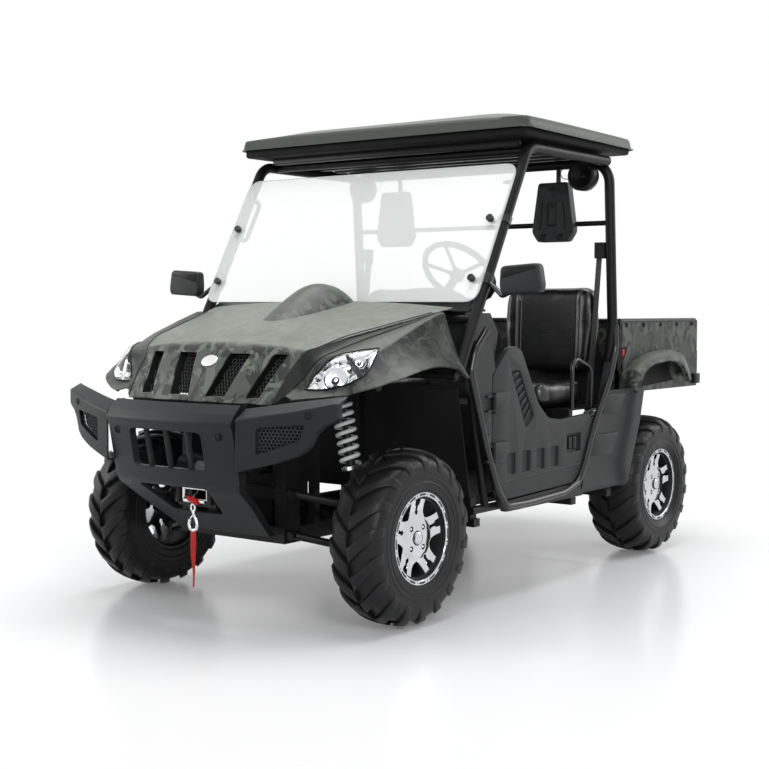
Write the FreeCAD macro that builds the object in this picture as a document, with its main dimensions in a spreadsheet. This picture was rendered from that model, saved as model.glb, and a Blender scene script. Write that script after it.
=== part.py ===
import FreeCAD, Part
import math
import os
from types import SimpleNamespace
from FreeCAD import Vector

# A side by side utility vehicle with a roof, a tilting cargo box and bull bar bumper.
# Front is -Y, the driver's side is +X, the ground is z = 0, and lengths are millimetres.
SIZES = {
    # Wheels and axles
    "wheelbase": 1910, "tyre_radius": 317.5, "rim_radius": 168, "bead_radius": 156,
    "front_half_track": 617, "rear_half_track": 600,
    "front_tyre_width": 206, "rear_tyre_width": 242,
    "lug_height": 17, "carcass_drop": 14, "rim_lip": 12, "rim_wall": 8,
    "hub_radius": 32, "hub_depth": 46, "spoke_width": 34, "spoke_depth": 16,
    "wheel_gap": 0.3,
    # Side panels, measured in a rectangle from the front arch to the rear arch
    "side_plane": 702, "panel_wall": 26, "cab_front_gap": 313, "cab_rear_gap": 209,
    "sill_height": 344, "belt_height": 1010, "door_gap": 6, "panel_gap": 3,
    "rib_depth": 9, "quarter_flare": 34,
    "hinge_radius": 9, "hinge_pin_radius": 4, "hinge_length": 46, "hinge_clearance": 0.3,
    # Chassis
    "rail_half": 235, "rail_width": 50, "rail_height": 50, "rail_bottom": 285,
    "rail_front_reach": 215, "rail_rear_reach": 405, "cross_width": 40,
    "tower_tube": 30, "nose_post_height": 670, "winch_base": 470, "shoulder_height": 885,
    "shoulder_gap": 70, "seat_gap": 0.3,
    "sill_tube_radius": 16, "sill_tube_lift": 22, "hinge_post_foot_gap": 172,
    "hinge_post_top_gap": 52, "fender_arm_half": 545, "fender_tab_gap": 8, "tower_offset": 38,
    "deck_wall": 5,
    "receiver_outer": 64, "receiver_inner": 51,
    "receiver_pin_radius": 8, "receiver_pin_inset": 45, "tail_reach": 585,
    "seat_front_share": 0.60, "engine_width": 330, "engine_height": 330, "engine_gap": 20,
    # Floor and seats
    "floor_half": 655, "floor_wall": 6,
    "seat_centre": 400, "cushion_width": 460, "cushion_length": 490, "cushion_height": 118,
    "back_width": 460, "back_height": 440, "back_thickness": 100,
    "seat_clearance": 0.3,
    # Front bodywork
    "hood_length": 790, "hood_front_half": 398, "hood_rear_half": 610, "hood_wall": 5,
    "hood_nose_reach": 455, "hood_lip_height": 796, "hood_rear_height": 1132,
    "hood_crown": 26, "hood_gap": 10, "hood_hinge_half": 200, "hood_hinge_drop": 24,
    "slot_width": 66, "slot_height": 150, "slot_pitch": 172, "mesh_wall": 3,
    "bulge_half": 165, "bulge_height": 112, "bulge_length": 470,
    "fender_outer": 738, "fender_wall": 5,
    "fender_rear_height": 1120, "arch_height": 920,
    "cowl_length": 118, "dash_depth": 230, "dash_height": 250, "dash_half": 640,
    # Bumper
    "bumper_reach": 585, "bumper_radius": 1389, "bumper_wall": 32, "bumper_top": 745,
    "bumper_skin": 14, "lip_depth": 53, "wing_gap": 10, "wing_top": 833, "wing_fold": 775,
    "wing_bottom": 575, "pocket_depth": 9, "bumper_half": 668, "plate_half": 305, "plate_bottom_half": 220,
    "plate_bottom": 312, "opening_half": 178, "opening_top": 704, "opening_bottom": 565,
    "plate_depth": 305, "bar_radius": 9, "vent_half": 170, "vent_low_half": 122, "vent_top": 507,
    "vent_bottom": 393, "flange_height": 798, "fairlead_reach": 185,
    # Winch and its hook
    "winch_width": 250, "winch_radius": 62, "fairlead_width": 190, "fairlead_height": 92,
    "fairlead_wall": 14, "roller_radius": 9, "hook_width": 44, "hook_height": 78,
    "hook_wall": 12, "strap_width": 24, "strap_wall": 3,
    # Cage, roof and glass
    "cage_tube_radius": 22, "cage_half": 690, "cage_top": 1762, "pillar_lean": 417,
    "rear_pillar_top_gap": 501, "rear_pillar_foot_gap": 430,
    "cage_bend": 90, "roof_half": 752, "roof_rear_gap": 360,
    "roof_side_rise": 38, "roof_rise": 134, "roof_skirt": 52, "roof_wall": 6,
    "glass_wall": 5, "glass_bottom": 1150, "glass_top": 1690, "glass_gap": 4,
    # Fittings in the cab
    "board_width": 175, "board_height": 260, "board_wall": 40, "board_drop": 209,
    "board_corner": 16,
    "board_half": 445, "rod_radius": 11, "speaker_radius": 64, "speaker_depth": 70,
    "speaker_half": 600, "speaker_height": 1700, "speaker_rim": 9,
    "mirror_width": 180, "mirror_height": 120, "mirror_corner": 26, "mirror_rim": 7,
    "mirror_depth": 46, "mirror_centre": 862, "mirror_centre_height": 1236,
    "handle_radius": 10, "handle_length": 200, "loop_radius": 9, "loop_height": 225,
    "loop_length_share": 0.1225, "loop_half": 652, "belt_width": 46, "belt_wall": 2.5,
    "steering_radius": 152, "grip_radius": 13, "steering_height": 1272,
    "steering_gap": 685, "column_angle": 42, "column_radius": 18, "column_length": 300,
    "dash_bar_height": 1090,
    # Suspension and driveline
    "arm_radius": 14, "arm_spread": 190, "bush_radius": 16, "bush_length": 50,
    "lower_arm_height": 310, "upper_arm_height": 460, "lower_ball_height": 242,
    "upper_ball_height": 398, "spring_radius": 33, "damper_radius": 8,
    "shock_top_half": 337, "shock_top_height": 835, "shock_foot_half": 410, "eye_radius": 14,
    "rear_shock_top_height": 690, "shaft_radius": 14, "boot_radius": 30, "boot_length": 80,
    "diff_width": 190, "diff_height": 150, "diff_length": 210, "diff_lift": 88, "ball_radius": 17,
    "knuckle_radius": 44, "kingpin_half": 523, "knuckle_lug": 12,
    # Cargo box
    "bed_front_gap": 289, "bed_rear_reach": 537, "bed_floor": 752, "bed_rail": 1087,
    "bed_half": 645, "bed_wall": 26, "bed_rail_height": 34, "bed_rail_overhang": 8,
    "flare_outer": 738, "flare_top": 950, "flare_arch": 888, "flare_wall": 6,
    "tailgate_wall": 34, "tailgate_gap": 6, "corner_width": 82,
    "gate_hinge_half": 380, "gate_hinge_gap": 3, "hinge_axis_height": 722, "hinge_axis_gap": 375,
    "bed_lug_width": 40, "bed_pin_radius": 9, "tail_lamp_width": 70, "tail_lamp_height": 150,
    "tail_lamp_depth": 24, "cut_overrun": 40,
}

# Counts and turns
LUG_COUNT = 18
RIM_FACETS = 24
SPOKE_COUNT = 5

document = FreeCAD.newDocument("side_by_side")
sheet = document.addObject("Spreadsheet::Sheet", "Sizes")
for row, (alias, value) in enumerate(SIZES.items(), 1):
    sheet.set(f"A{row}", str(value))
    sheet.setAlias(f"A{row}", alias)
document.recompute()
s = SimpleNamespace(**{alias: float(sheet.get(alias)) for alias in SIZES})

# Places that more than one piece uses
front_axle = -s.wheelbase / 2
rear_axle = s.wheelbase / 2
cab_front = front_axle + s.cab_front_gap
cab_rear = rear_axle - s.cab_rear_gap
cab_length = cab_rear - cab_front
cab_height = s.belt_height - s.sill_height
nodes = {}


def keep(node, thing):
    """Name an object of the document as one finished sub-part."""
    thing.Label = node
    nodes[node] = thing
    return thing


def solid_node(node, *shapes):
    """A finished sub-part from shapes made with Part's own functions."""
    thing = document.addObject("Part::Feature", node)
    whole = shapes[0] if len(shapes) == 1 else Part.makeCompound(list(shapes))
    solids = whole.Solids
    thing.Shape = solids[0] if len(solids) == 1 else Part.makeCompound(solids)
    return keep(node, thing)


def fused(*shapes):
    """One shape from shapes that overlap or meet, with its flush faces joined where that works."""
    plain = shapes[0].multiFuse(list(shapes[1:]))
    refined = plain.removeSplitter()
    return refined if refined.isValid() else plain


def mirrored(shape):
    """The same shape on the other side of the vehicle."""
    return shape.mirror(Vector(0, 0, 0), Vector(1, 0, 0))


def both_sides(*shapes):
    """Each shape and its mirror image."""
    return list(shapes) + [mirrored(shape) for shape in shapes]


def flat_face(points):
    """A flat face inside a loop of corners."""
    return Part.Face(Part.makePolygon(list(points) + [points[0]]))


def block(low, high):
    """A box between two opposite corners."""
    span = high.sub(low)
    return Part.makeBox(span.x, span.y, span.z, low)


def side_point(share, across=0):
    """A place on a side of the cab from its shares of the side rectangle."""
    return Vector(across, cab_front + share[0] * cab_length, s.sill_height + share[1] * cab_height)


def side_slab(shares, inner, outer):
    """A flat panel on the left side, between two distances from the centre plane."""
    face = flat_face([side_point(share, inner) for share in shares])
    return face.extrude(Vector(outer - inner, 0, 0))


def rounded_path(points, radius):
    """A path of straight runs joined by tangent arcs."""
    edges = []
    start = points[0]
    for before, corner, after in zip(points, points[1:], points[2:]):
        back = before.sub(corner)
        ahead = after.sub(corner)
        turn = math.pi - back.getAngle(ahead)
        reach = min(radius * math.tan(turn / 2), back.Length * 0.45, ahead.Length * 0.45)
        back.normalize()
        ahead.normalize()
        into = corner + back * reach
        out = corner + ahead * reach
        bisector = back + ahead
        bisector.normalize()
        bend = reach / math.tan(turn / 2)
        centre = corner + bisector * (bend / math.cos(turn / 2))
        middle = centre - bisector * bend
        edges.append(Part.LineSegment(start, into).toShape())
        edges.append(Part.Arc(into, middle, out).toShape())
        start = out
    edges.append(Part.LineSegment(start, points[-1]).toShape())
    return Part.Wire(edges)


def tube(points, radius, bend=None):
    """A round bar along a bent path."""
    path = rounded_path(points, bend or radius * 3)
    ring = Part.Wire(Part.makeCircle(radius, points[0], points[1].sub(points[0])))
    return path.makePipeShell([ring], True, False)


def rod(start, end, radius):
    """A straight round bar between two points."""
    along = end.sub(start)
    return Part.makeCylinder(radius, along.Length, start, along)


def inset_curve(points, wall):
    """The points of a section moved inwards by the wall, square to the curve."""
    moved = []
    for index, point in enumerate(points):
        along = points[min(index + 1, len(points) - 1)].sub(points[max(index - 1, 0)])
        inward = Vector(along.z, 0, -along.x)
        inward.normalize()
        moved.append(point + inward * wall)
    return moved


def skin_section(points, wall, smooth=True):
    """A closed wire round a thin curved section, from left to right along its outer side."""
    inner = list(reversed(inset_curve(points, wall)))
    if smooth:
        upper = Part.BSplineCurve()
        upper.interpolate(points)
        lower = Part.BSplineCurve()
        lower.interpolate(inner)
        curves = [upper.toShape(), lower.toShape()]
    else:
        curves = [Part.makePolygon(points), Part.makePolygon(inner)]
    ends = [Part.LineSegment(points[-1], inner[0]).toShape(),
            Part.LineSegment(inner[-1], points[0]).toShape()]
    return Part.Wire(Part.Wire(curves[0]).Edges + [ends[0]] + Part.Wire(curves[1]).Edges + [ends[1]])


def faceted_solid(facets):
    """A closed solid from loops of three or four corners."""
    places = {}
    triangles = []
    for facet in facets:
        loop = [places.setdefault(tuple(round(part, 4) for part in corner), len(places))
                for corner in facet]
        for index in range(1, len(loop) - 1):
            trio = (loop[0], loop[index], loop[index + 1])
            if len(set(trio)) == 3:
                triangles.append(trio)
    shape = Part.Shape()
    shape.makeShapeFromMesh(([Vector(*place) for place in places], triangles), s.wheel_gap / 10)
    solid = Part.makeSolid(shape)
    return solid if solid.Volume > 0 else solid.reversed()


def around(offset, radius, turn):
    """A point of a wheel, from its distance along the axle, radius and angle."""
    return (offset, radius * math.cos(turn), radius * math.sin(turn))


# Chassis: two box rails, cross members, arm mounts, shock towers, sill tubes and nose posts
floor_shares = [(-0.012, 0.745), (0.052, 0.107), (0.585, 0.107), (s.seat_front_share, 0.535),
                (0.86, 0.535), (0.86, 0.86)]
rail_top = s.rail_bottom + s.rail_height
rail_face = s.rail_half + s.rail_width / 2
rail_front = front_axle - s.rail_front_reach
roof_side_height = s.cage_top + s.roof_side_rise
rail_rear = rear_axle + s.rail_rear_reach
cross_top = rail_top - s.deck_wall
tail_end = rear_axle + s.tail_reach
bed_hinge_y = rear_axle + s.hinge_axis_gap
floor_bottom = s.sill_height + floor_shares[1][1] * cab_height
side_inner = s.side_plane - s.panel_wall
sill_half = side_inner - s.seat_gap - s.sill_tube_radius
rear_foot_half = side_inner - s.seat_gap - s.cage_tube_radius
sill_tube_height = s.sill_height + s.sill_tube_lift
rear_foot_y = rear_axle - s.rear_pillar_foot_gap
shoulder_y = cab_front - s.shoulder_gap


def cross_member(place, bottom, top):
    """A bar across both rails, centred on a place along the vehicle."""
    return block(Vector(-rail_face, place - s.cross_width / 2, bottom),
                 Vector(rail_face, place + s.cross_width / 2, top))


def outrigger(place, half, top):
    """A bar from a rail out to the side, with a short post at its end."""
    low = rail_top - s.tower_tube
    arm = block(Vector(s.rail_half, place - s.cross_width / 2, low),
                Vector(half + s.sill_tube_radius, place + s.cross_width / 2, rail_top))
    post = block(Vector(half - s.sill_tube_radius * 2, place - s.cross_width / 2, low),
                 Vector(half, place + s.cross_width / 2, top))
    return arm.fuse(post)


def arm_posts(axle):
    """Uprights on the rails that carry the wishbones' inner ends."""
    posts = []
    for side in (-1, 1):
        place = axle + side * s.arm_spread
        posts.append(block(Vector(rail_face - s.rail_width, place - s.bush_length / 2,
                                  rail_top - s.deck_wall),
                           Vector(rail_face, place + s.bush_length / 2, s.upper_arm_height + s.bush_radius)))
    return posts


def shock_tower(axle, top):
    """A hoop across the frame that holds the upper ends of the springs."""
    near = axle - s.tower_offset - s.tower_tube / 2
    post = block(Vector(rail_face - s.tower_tube, near, rail_top - s.deck_wall),
                 Vector(rail_face, near + s.tower_tube, top + s.tower_tube))
    beam = block(Vector(-s.shock_top_half - s.tower_tube, near, top),
                 Vector(s.shock_top_half + s.tower_tube, axle + s.tower_tube / 2, top + s.tower_tube))
    return both_sides(post) + [beam]


def hinge_post(grown=0):
    """The upright behind the kick panel, from the sill tube up to the shoulder tube's height."""
    return rod(Vector(sill_half, cab_front + s.hinge_post_foot_gap, sill_tube_height),
               Vector(sill_half, cab_front + s.hinge_post_top_gap, s.shoulder_height),
               s.sill_tube_radius + grown)


def chassis():
    rail = block(Vector(rail_face - s.rail_width, rail_front, s.rail_bottom),
                 Vector(rail_face, rail_rear, rail_top))
    pieces = both_sides(rail)
    for place in (rail_front + s.cross_width / 2, front_axle, floor_front, engine_front + s.cross_width,
                  engine_rear - s.cross_width, rear_axle, rail_rear - s.cross_width / 2):
        pieces.append(cross_member(place, s.rail_bottom + s.deck_wall, cross_top))
    for axle, top in ((front_axle, s.shock_top_height), (rear_axle, s.rear_shock_top_height)):
        pieces += shock_tower(axle, top) + both_sides(*arm_posts(axle))
    nose_post = block(Vector(rail_face - s.rail_width, rail_front, rail_top - s.deck_wall),
                      Vector(rail_face, rail_front + s.cross_width * 2, s.nose_post_height))
    pieces += both_sides(nose_post)
    pieces.append(cross_member(rail_front + s.cross_width * 1.5, s.winch_base - s.cross_width, s.winch_base))
    strut = block(Vector(s.rail_half - s.tower_tube / 2, shoulder_y - s.tower_tube / 2,
                         rail_top - s.deck_wall),
                  Vector(s.rail_half + s.tower_tube / 2, shoulder_y + s.tower_tube / 2, s.shoulder_height))
    shoulder = rod(Vector(-s.cage_half, shoulder_y, s.shoulder_height),
                   Vector(s.cage_half, shoulder_y, s.shoulder_height), s.sill_tube_radius)
    link_height = s.shoulder_height - s.sill_tube_radius
    link = rod(Vector(sill_half, shoulder_y, link_height),
               Vector(sill_half, cab_front + s.hinge_post_top_gap, link_height), s.sill_tube_radius)
    pieces += both_sides(strut, hinge_post(), link) + [shoulder]
    near = front_axle - s.tower_offset - s.tower_tube / 2
    pieces.append(block(Vector(-s.fender_arm_half, near, s.shock_top_height),
                        Vector(s.fender_arm_half, near + s.tower_tube, s.shock_top_height + s.tower_tube)))
    ear = block(Vector(s.rail_half - s.bed_lug_width / 2, bed_hinge_y - s.bed_lug_width / 2,
                       rail_top - s.deck_wall),
                Vector(s.rail_half + s.bed_lug_width / 2, bed_hinge_y + s.bed_lug_width / 2,
                       s.hinge_axis_height))
    ear = ear.fuse(Part.makeCylinder(s.bed_lug_width / 2, s.bed_lug_width,
                                     Vector(s.rail_half - s.bed_lug_width / 2, bed_hinge_y,
                                            s.hinge_axis_height), Vector(1, 0, 0)))
    pin = Part.makeCylinder(s.bed_pin_radius, s.bed_lug_width * 2.5,
                            Vector(s.rail_half - s.bed_lug_width / 2, bed_hinge_y, s.hinge_axis_height),
                            Vector(1, 0, 0))
    pieces += both_sides(ear, pin)
    sill_front = floor_front
    sill_rear = engine_front
    sill = rod(Vector(sill_half, sill_front, sill_tube_height),
               Vector(sill_half, sill_rear, sill_tube_height), s.sill_tube_radius)
    floor_rest = floor_bottom - s.seat_gap
    pieces += both_sides(sill, outrigger(sill_front + s.cross_width / 2, sill_half, floor_rest),
                         outrigger(sill_rear - s.cross_width / 2, sill_half, floor_rest),
                         outrigger(rear_foot_y, rear_foot_half, rail_top))
    return fused(*pieces)


floor_front = cab_front + floor_shares[1][0] * cab_length
engine_front = cab_front + s.seat_front_share * cab_length + s.floor_wall + s.engine_gap
engine_rear = rear_axle - s.diff_length - s.engine_gap
solid_node("chassis_frame", chassis())

# Hitch receiver: a square tube behind the rear cross member, with a cross hole for its pin
receiver_outer = s.receiver_outer / 2
receiver_inner = s.receiver_inner / 2
receiver_height = s.rail_bottom + s.rail_height / 2
receiver = block(Vector(-receiver_outer, rail_rear, receiver_height - receiver_outer),
                 Vector(receiver_outer, tail_end, receiver_height + receiver_outer))
socket = block(Vector(-receiver_inner, rail_rear, receiver_height - receiver_inner),
               Vector(receiver_inner, tail_end + s.cut_overrun, receiver_height + receiver_inner))
pin_bore = Part.makeCylinder(s.receiver_pin_radius, s.receiver_outer * 2,
                             Vector(-s.receiver_outer, tail_end - s.receiver_pin_inset, receiver_height),
                             Vector(1, 0, 0))
solid_node("hitch_receiver", receiver.cut(socket).cut(pin_bore))

# Skid plate: a folded sheet under the rails, turned up at the nose
skid_line = [Vector(-rail_face, rail_front - s.deck_wall, rail_top + s.deck_wall),
             Vector(-rail_face, rail_front - s.deck_wall, s.rail_bottom - s.seat_gap),
             Vector(-rail_face, rear_axle - s.arm_spread, s.rail_bottom - s.seat_gap)]
skid_low = [skid_line[2] - Vector(0, 0, s.deck_wall),
            skid_line[1] - Vector(0, s.deck_wall / 2, s.deck_wall),
            skid_line[0] - Vector(0, s.deck_wall, 0)]
solid_node("skid_plate", flat_face(skid_line + skid_low).extrude(Vector(rail_face * 2, 0, 0)))

# Engine and gearbox: one plain block between the rails, under the seat and the box
engine = document.addObject("Part::Box", "engine_block")
cab_formula = "(Sizes.wheelbase - Sizes.cab_front_gap - Sizes.cab_rear_gap)"
front_formula = ("(Sizes.cab_front_gap - Sizes.wheelbase / 2 + Sizes.floor_wall + Sizes.engine_gap"
                 f" + Sizes.seat_front_share * {cab_formula})")
for key, formula in {
        "Length": "Sizes.engine_width", "Height": "Sizes.engine_height",
        "Width": f"Sizes.wheelbase / 2 - Sizes.diff_length - Sizes.engine_gap - {front_formula}",
        "Placement.Base.x": "-Sizes.engine_width / 2",
        "Placement.Base.y": front_formula,
        "Placement.Base.z": "Sizes.rail_bottom + Sizes.rail_height - Sizes.deck_wall"}.items():
    engine.setExpression(key, formula)
keep("engine_block", engine)

# Floor: toe board, floor, seat box front, seat deck and rear bulkhead folded from one sheet


def folded_sheet(line, wall, half):
    """A sheet folded along a line in side view, as wide as the cab's inside."""
    normals = []
    for here, there in zip(line, line[1:]):
        along = there.sub(here)
        normal = Vector(0, -along.z, along.y)
        normal.normalize()
        normals.append(normal)
    inner = []
    for index, point in enumerate(line):
        first = normals[max(index - 1, 0)]
        last = normals[min(index, len(normals) - 1)]
        mitre = first + last
        inner.append(point + mitre * (2 * wall / mitre.Length ** 2))
    return flat_face(line + inner[::-1]).extrude(Vector(2 * half, 0, 0))


floor_line = [side_point(share, -s.floor_half) for share in floor_shares]
notch = block(Vector(rear_foot_half - s.cage_tube_radius - s.panel_gap, rear_foot_y - s.cage_tube_radius * 2,
                     rail_top),
               Vector(s.floor_half + s.cut_overrun, rear_foot_y + s.cage_tube_radius, s.belt_height))
floor_pan = folded_sheet(floor_line, s.floor_wall, s.floor_half)
solid_node("floor_pan", floor_pan.cut(Part.makeCompound(both_sides(notch, hinge_post(s.seat_gap)))))

# Doors: thick moulded half doors, hinged at their front edges
door_shares = [(0.114, 0.796), (0.114, 0.285), (0.142, 0.134), (0.184, 0.071), (0.563, 0.092),
               (0.604, 0.143), (0.684, 0.470), (0.666, 0.515), (0.494, 0.498), (0.418, 0.518),
               (0.361, 0.610), (0.305, 0.799), (0.265, 0.934), (0.227, 0.964), (0.192, 0.946)]
hinge_height_shares = (0.355, 0.64)
rib_place_shares = (0.255, 0.338, 0.418, 0.499)
rib_span_shares = (0.20, 0.345)
rib_width_share = 0.042
door_inner = s.side_plane - s.panel_wall
hinge_y = cab_front + door_shares[0][0] * cab_length - s.door_gap / 2
hinge_x = s.side_plane + s.hinge_radius
barrel_half = s.hinge_length / 2


def hinge_centre(share):
    return Vector(hinge_x, hinge_y, s.sill_height + share * cab_height)


def door():
    panel = side_slab(door_shares, door_inner, s.side_plane)
    ribs = []
    for place in rib_place_shares:
        corners = [(place, rib_span_shares[0]), (place + rib_width_share, rib_span_shares[0]),
                   (place + rib_width_share, rib_span_shares[1]), (place, rib_span_shares[1])]
        ribs.append(side_slab(corners, s.side_plane - s.rib_depth, s.side_plane + s.rib_depth))
    panel = panel.multiFuse(ribs)
    for share in hinge_height_shares:
        centre = hinge_centre(share)
        low = centre - Vector(0, 0, barrel_half)
        barrel = Part.makeCylinder(s.hinge_radius, s.hinge_length, low)
        leaf = block(Vector(s.side_plane - s.rib_depth / 2, hinge_y, low.z),
                     Vector(s.side_plane + s.hinge_radius, hinge_y + s.hinge_length, low.z + s.hinge_length))
        bore = Part.makeCylinder(s.hinge_pin_radius + s.hinge_clearance, s.hinge_length * 2,
                                 centre - Vector(0, 0, s.hinge_length))
        panel = panel.fuse(barrel).fuse(leaf).cut(bore)
    return panel.removeSplitter()


def door_opening():
    """The door's outline grown by its gap, through the side panel."""
    wire = Part.makePolygon([side_point(share, door_inner) for share in door_shares + door_shares[:1]])
    grown = wire.makeOffset2D(s.door_gap, 2)
    cutter = Part.Face(grown).extrude(Vector(s.panel_wall * 2, 0, 0))
    return cutter.translated(Vector(-s.panel_wall / 2, 0, 0))


left_door = door()
solid_node("door_left", left_door)
solid_node("door_right", mirrored(left_door))

# Side panels: kick panel, sill and rear post strip, one moulding a side round the door
side_shares = [(0.040, 1.0), (0.0, 0.838), (0.007, 0.743), (0.035, 0.638), (0.086, 0.393),
               (0.138, 0.143), (0.160, 0.065), (0.189, 0.0), (0.626, 0.0), (0.639, 0.119),
               (0.756, 0.485), (0.811, 0.833), (0.791, 0.833), (0.736, 0.485), (0.62, 0.40),
               (0.20, 0.30), (0.13, 0.80), (0.105, 1.0)]


def side_panel():
    panel = side_slab(side_shares, door_inner, s.side_plane).cut(door_opening())
    for share in hinge_height_shares:
        centre = hinge_centre(share)
        reach = barrel_half + s.hinge_clearance
        pin = Part.makeCylinder(s.hinge_pin_radius, 2 * (reach + s.hinge_radius),
                                centre - Vector(0, 0, reach + s.hinge_radius))
        for low in (centre.z - reach - s.hinge_radius, centre.z + reach):
            knuckle = Part.makeCylinder(s.hinge_radius, s.hinge_radius, Vector(hinge_x, hinge_y, low))
            leaf = block(Vector(s.side_plane - s.rib_depth / 2, hinge_y - s.hinge_length, low),
                         Vector(hinge_x, hinge_y, low + s.hinge_radius))
            pin = pin.fuse(knuckle).fuse(leaf)
        panel = panel.fuse(pin)
    return panel.removeSplitter()


solid_node("side_panels", *both_sides(side_panel()))

# Rear quarter panels: outer skin between the rear post strip and the rear wheel
quarter_shares = [(0.792, 0.625), (0.999, 0.60), (0.987, 0.476), (0.909, 0.003), (0.642, 0.003),
                  (0.655, 0.119), (0.772, 0.485)]
quarter = side_slab(quarter_shares, door_inner, s.side_plane + s.quarter_flare / 3)
solid_node("rear_quarters", *both_sides(quarter))

# Front fenders: curved mouldings from the hood's edge out over each wheel
fender_station_shares = [(0.03, 0.153, 0.18, 0.09), (0.05, 0.212, 0.213, 0.13), (0.12, 0.41, 0.336, 0.22),
                         (0.2, 0.594, 0.515, 0.32), (0.3, 0.829, 0.568, 0.55), (0.4, 0.962, 0.58, 0.77),
                         (0.557, 1.0, 0.704, 0.99), (0.73, 1.0, 0.855, 1.04), (0.82, 1.0, 0.93, 0.93),
                         (0.892, 1.0, 0.98, 0.70)]
nose = front_axle - s.hood_nose_reach
hood_rear = nose + s.hood_length
hood_span = s.hood_rear_height - s.hood_lip_height
ridge_across_share = 0.6
face_across_share = 0.9


def hood_edge(share):
    """Half width and height of the hood's edge at a share of its length."""
    rise = math.sin(min(share / 0.18, 1) * math.pi / 2)
    half = s.hood_front_half + (s.hood_rear_half - s.hood_front_half) * max(share - 0.1, 0) / 0.9
    height = s.hood_lip_height + hood_span * (0.56 * rise + 0.44 * max(share - 0.18, 0) / 0.82)
    return half, height


def fender():
    wires = []
    for along, outer_share, ridge_share, arch_share in fender_station_shares:
        place = nose + along * s.hood_length
        half, height = hood_edge(along)
        half += s.hood_gap
        arch = s.hood_lip_height + (s.arch_height - s.hood_lip_height) * arch_share
        ridge = s.hood_lip_height + (s.fender_rear_height - s.hood_lip_height) * ridge_share
        reach = s.hood_front_half + (s.fender_outer - s.hood_front_half) * outer_share - half
        points = [Vector(half, place, height),
                  Vector(half + reach * ridge_across_share, place, ridge),
                  Vector(half + reach * face_across_share, place, (ridge + arch) / 2),
                  Vector(half + reach, place, arch)]
        wires.append(skin_section(points, s.fender_wall))
    return Part.makeLoft(wires, True, True)


lamp_shares = [(0.055, 0.13), (0.12, 0.29), (0.178, 0.45), (0.25, 0.525), (0.33, 0.55), (0.43, 0.545),
               (0.30, 0.515), (0.25, 0.40), (0.21, 0.295), (0.157, 0.19), (0.10, 0.12)]


def lamp_prism():
    """The headlamp's outline seen from the side, carried out through the fender's face."""
    corners = [Vector(s.hood_front_half + s.hood_gap, nose + along * s.hood_length,
                      s.hood_lip_height + up * (s.fender_rear_height - s.hood_lip_height))
               for along, up in lamp_shares]
    return flat_face(corners).extrude(Vector(s.fender_outer, 0, 0))


def fender_tab(skin):
    """A foot under the fender that rests on the arm of the front shock tower."""
    near = front_axle - s.tower_offset - s.tower_tube / 2
    inner = hood_edge((near - nose) / s.hood_length)[0] + s.hood_gap + s.fender_tab_gap
    tall = block(Vector(inner, near, s.shock_top_height + s.tower_tube + s.seat_gap),
                 Vector(inner + s.rod_radius * 2, near + s.tower_tube, s.cage_top))
    return min(tall.cut(skin).Solids, key=lambda solid: solid.CenterOfMass.z)


left_fender = fender()
lens = left_fender.common(lamp_prism())
left_fender = left_fender.cut(lamp_prism()).fuse(fender_tab(left_fender)).removeSplitter()
solid_node("front_fenders", *both_sides(left_fender))
solid_node("headlamps", *both_sides(lens))

# Hood: one lofted panel with the grille face, slots and the front of the bulge
hood_station_shares = (0.0, 0.03, 0.08, 0.12, 0.16, 0.20, 0.45, 0.75, 1.0)


def hood_wire(share):
    half, height = hood_edge(share)
    place = nose + share * s.hood_length
    crown = s.hood_crown * min(share / 0.18, 1)
    points = [Vector(side * half, place, height + crown * (1 - abs(side) ** 2))
              for side in (-1, -0.6, -0.2, 0.2, 0.6, 1)]
    return skin_section(points, s.hood_wall)


def bulge(start, end):
    """The raised centre of the hood and cowl, between two places along the vehicle."""
    tip = hood_rear - s.bulge_length + s.cowl_length
    back = hood_rear + s.cowl_length
    wires = []
    for share in (0.0, 0.35, 0.75, 1.0):
        place = tip + share * (back - tip)
        half = s.bulge_half * math.sqrt(share * 0.9 + 0.1)
        rise = s.bulge_height * math.sin((share * 0.85 + 0.08) * math.pi / 2)
        base = hood_edge(min((place - nose) / s.hood_length, 1))[1] + s.hood_crown / 2 - s.hood_wall
        points = [Vector(side * half, place, base + rise * math.cos(side * math.pi / 2))
                  for side in (-1, -0.6, 0, 0.6, 1)]
        curve = Part.BSplineCurve()
        curve.interpolate(points)
        wires.append(Part.Wire([curve.toShape(), Part.LineSegment(points[-1], points[0]).toShape()]))
    form = Part.makeLoft(wires, True, False)
    return form.common(block(Vector(-s.bulge_half * 2, start, 0), Vector(s.bulge_half * 2, end, s.cage_top)))


def hood():
    panel = Part.makeLoft([hood_wire(share) for share in hood_station_shares], True, True)
    for place in (-1.5, -0.5, 0.5, 1.5):
        low = Vector(place * s.slot_pitch - s.slot_width / 2, nose - s.cut_overrun,
                     s.hood_lip_height + s.hood_crown)
        lean = Vector(place * s.hood_crown, 0, s.slot_height)
        side = Vector(s.slot_width, 0, 0)
        face = flat_face([low, low + side, low + side + lean, low + lean])
        panel = panel.cut(face.extrude(Vector(0, s.hood_length / 4, 0)))
    panel = panel.fuse(bulge(nose, hood_rear))
    for side in (-1, 1):
        low = hood_hinge + Vector(side * s.hood_hinge_half - barrel_half, 0, 0)
        barrel = Part.makeCylinder(s.hinge_radius, s.hinge_length, low, Vector(1, 0, 0))
        leaf = block(low - Vector(0, s.hinge_radius / 2, 0),
                     Vector(low.x + s.hinge_length, nose + s.hood_wall, s.hood_lip_height))
        bore = Part.makeCylinder(s.hinge_pin_radius + s.hinge_clearance, s.hinge_length * 2,
                                 low - Vector(barrel_half, 0, 0), Vector(1, 0, 0))
        panel = panel.fuse(barrel).fuse(leaf).cut(bore)
    return panel.removeSplitter()


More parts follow.
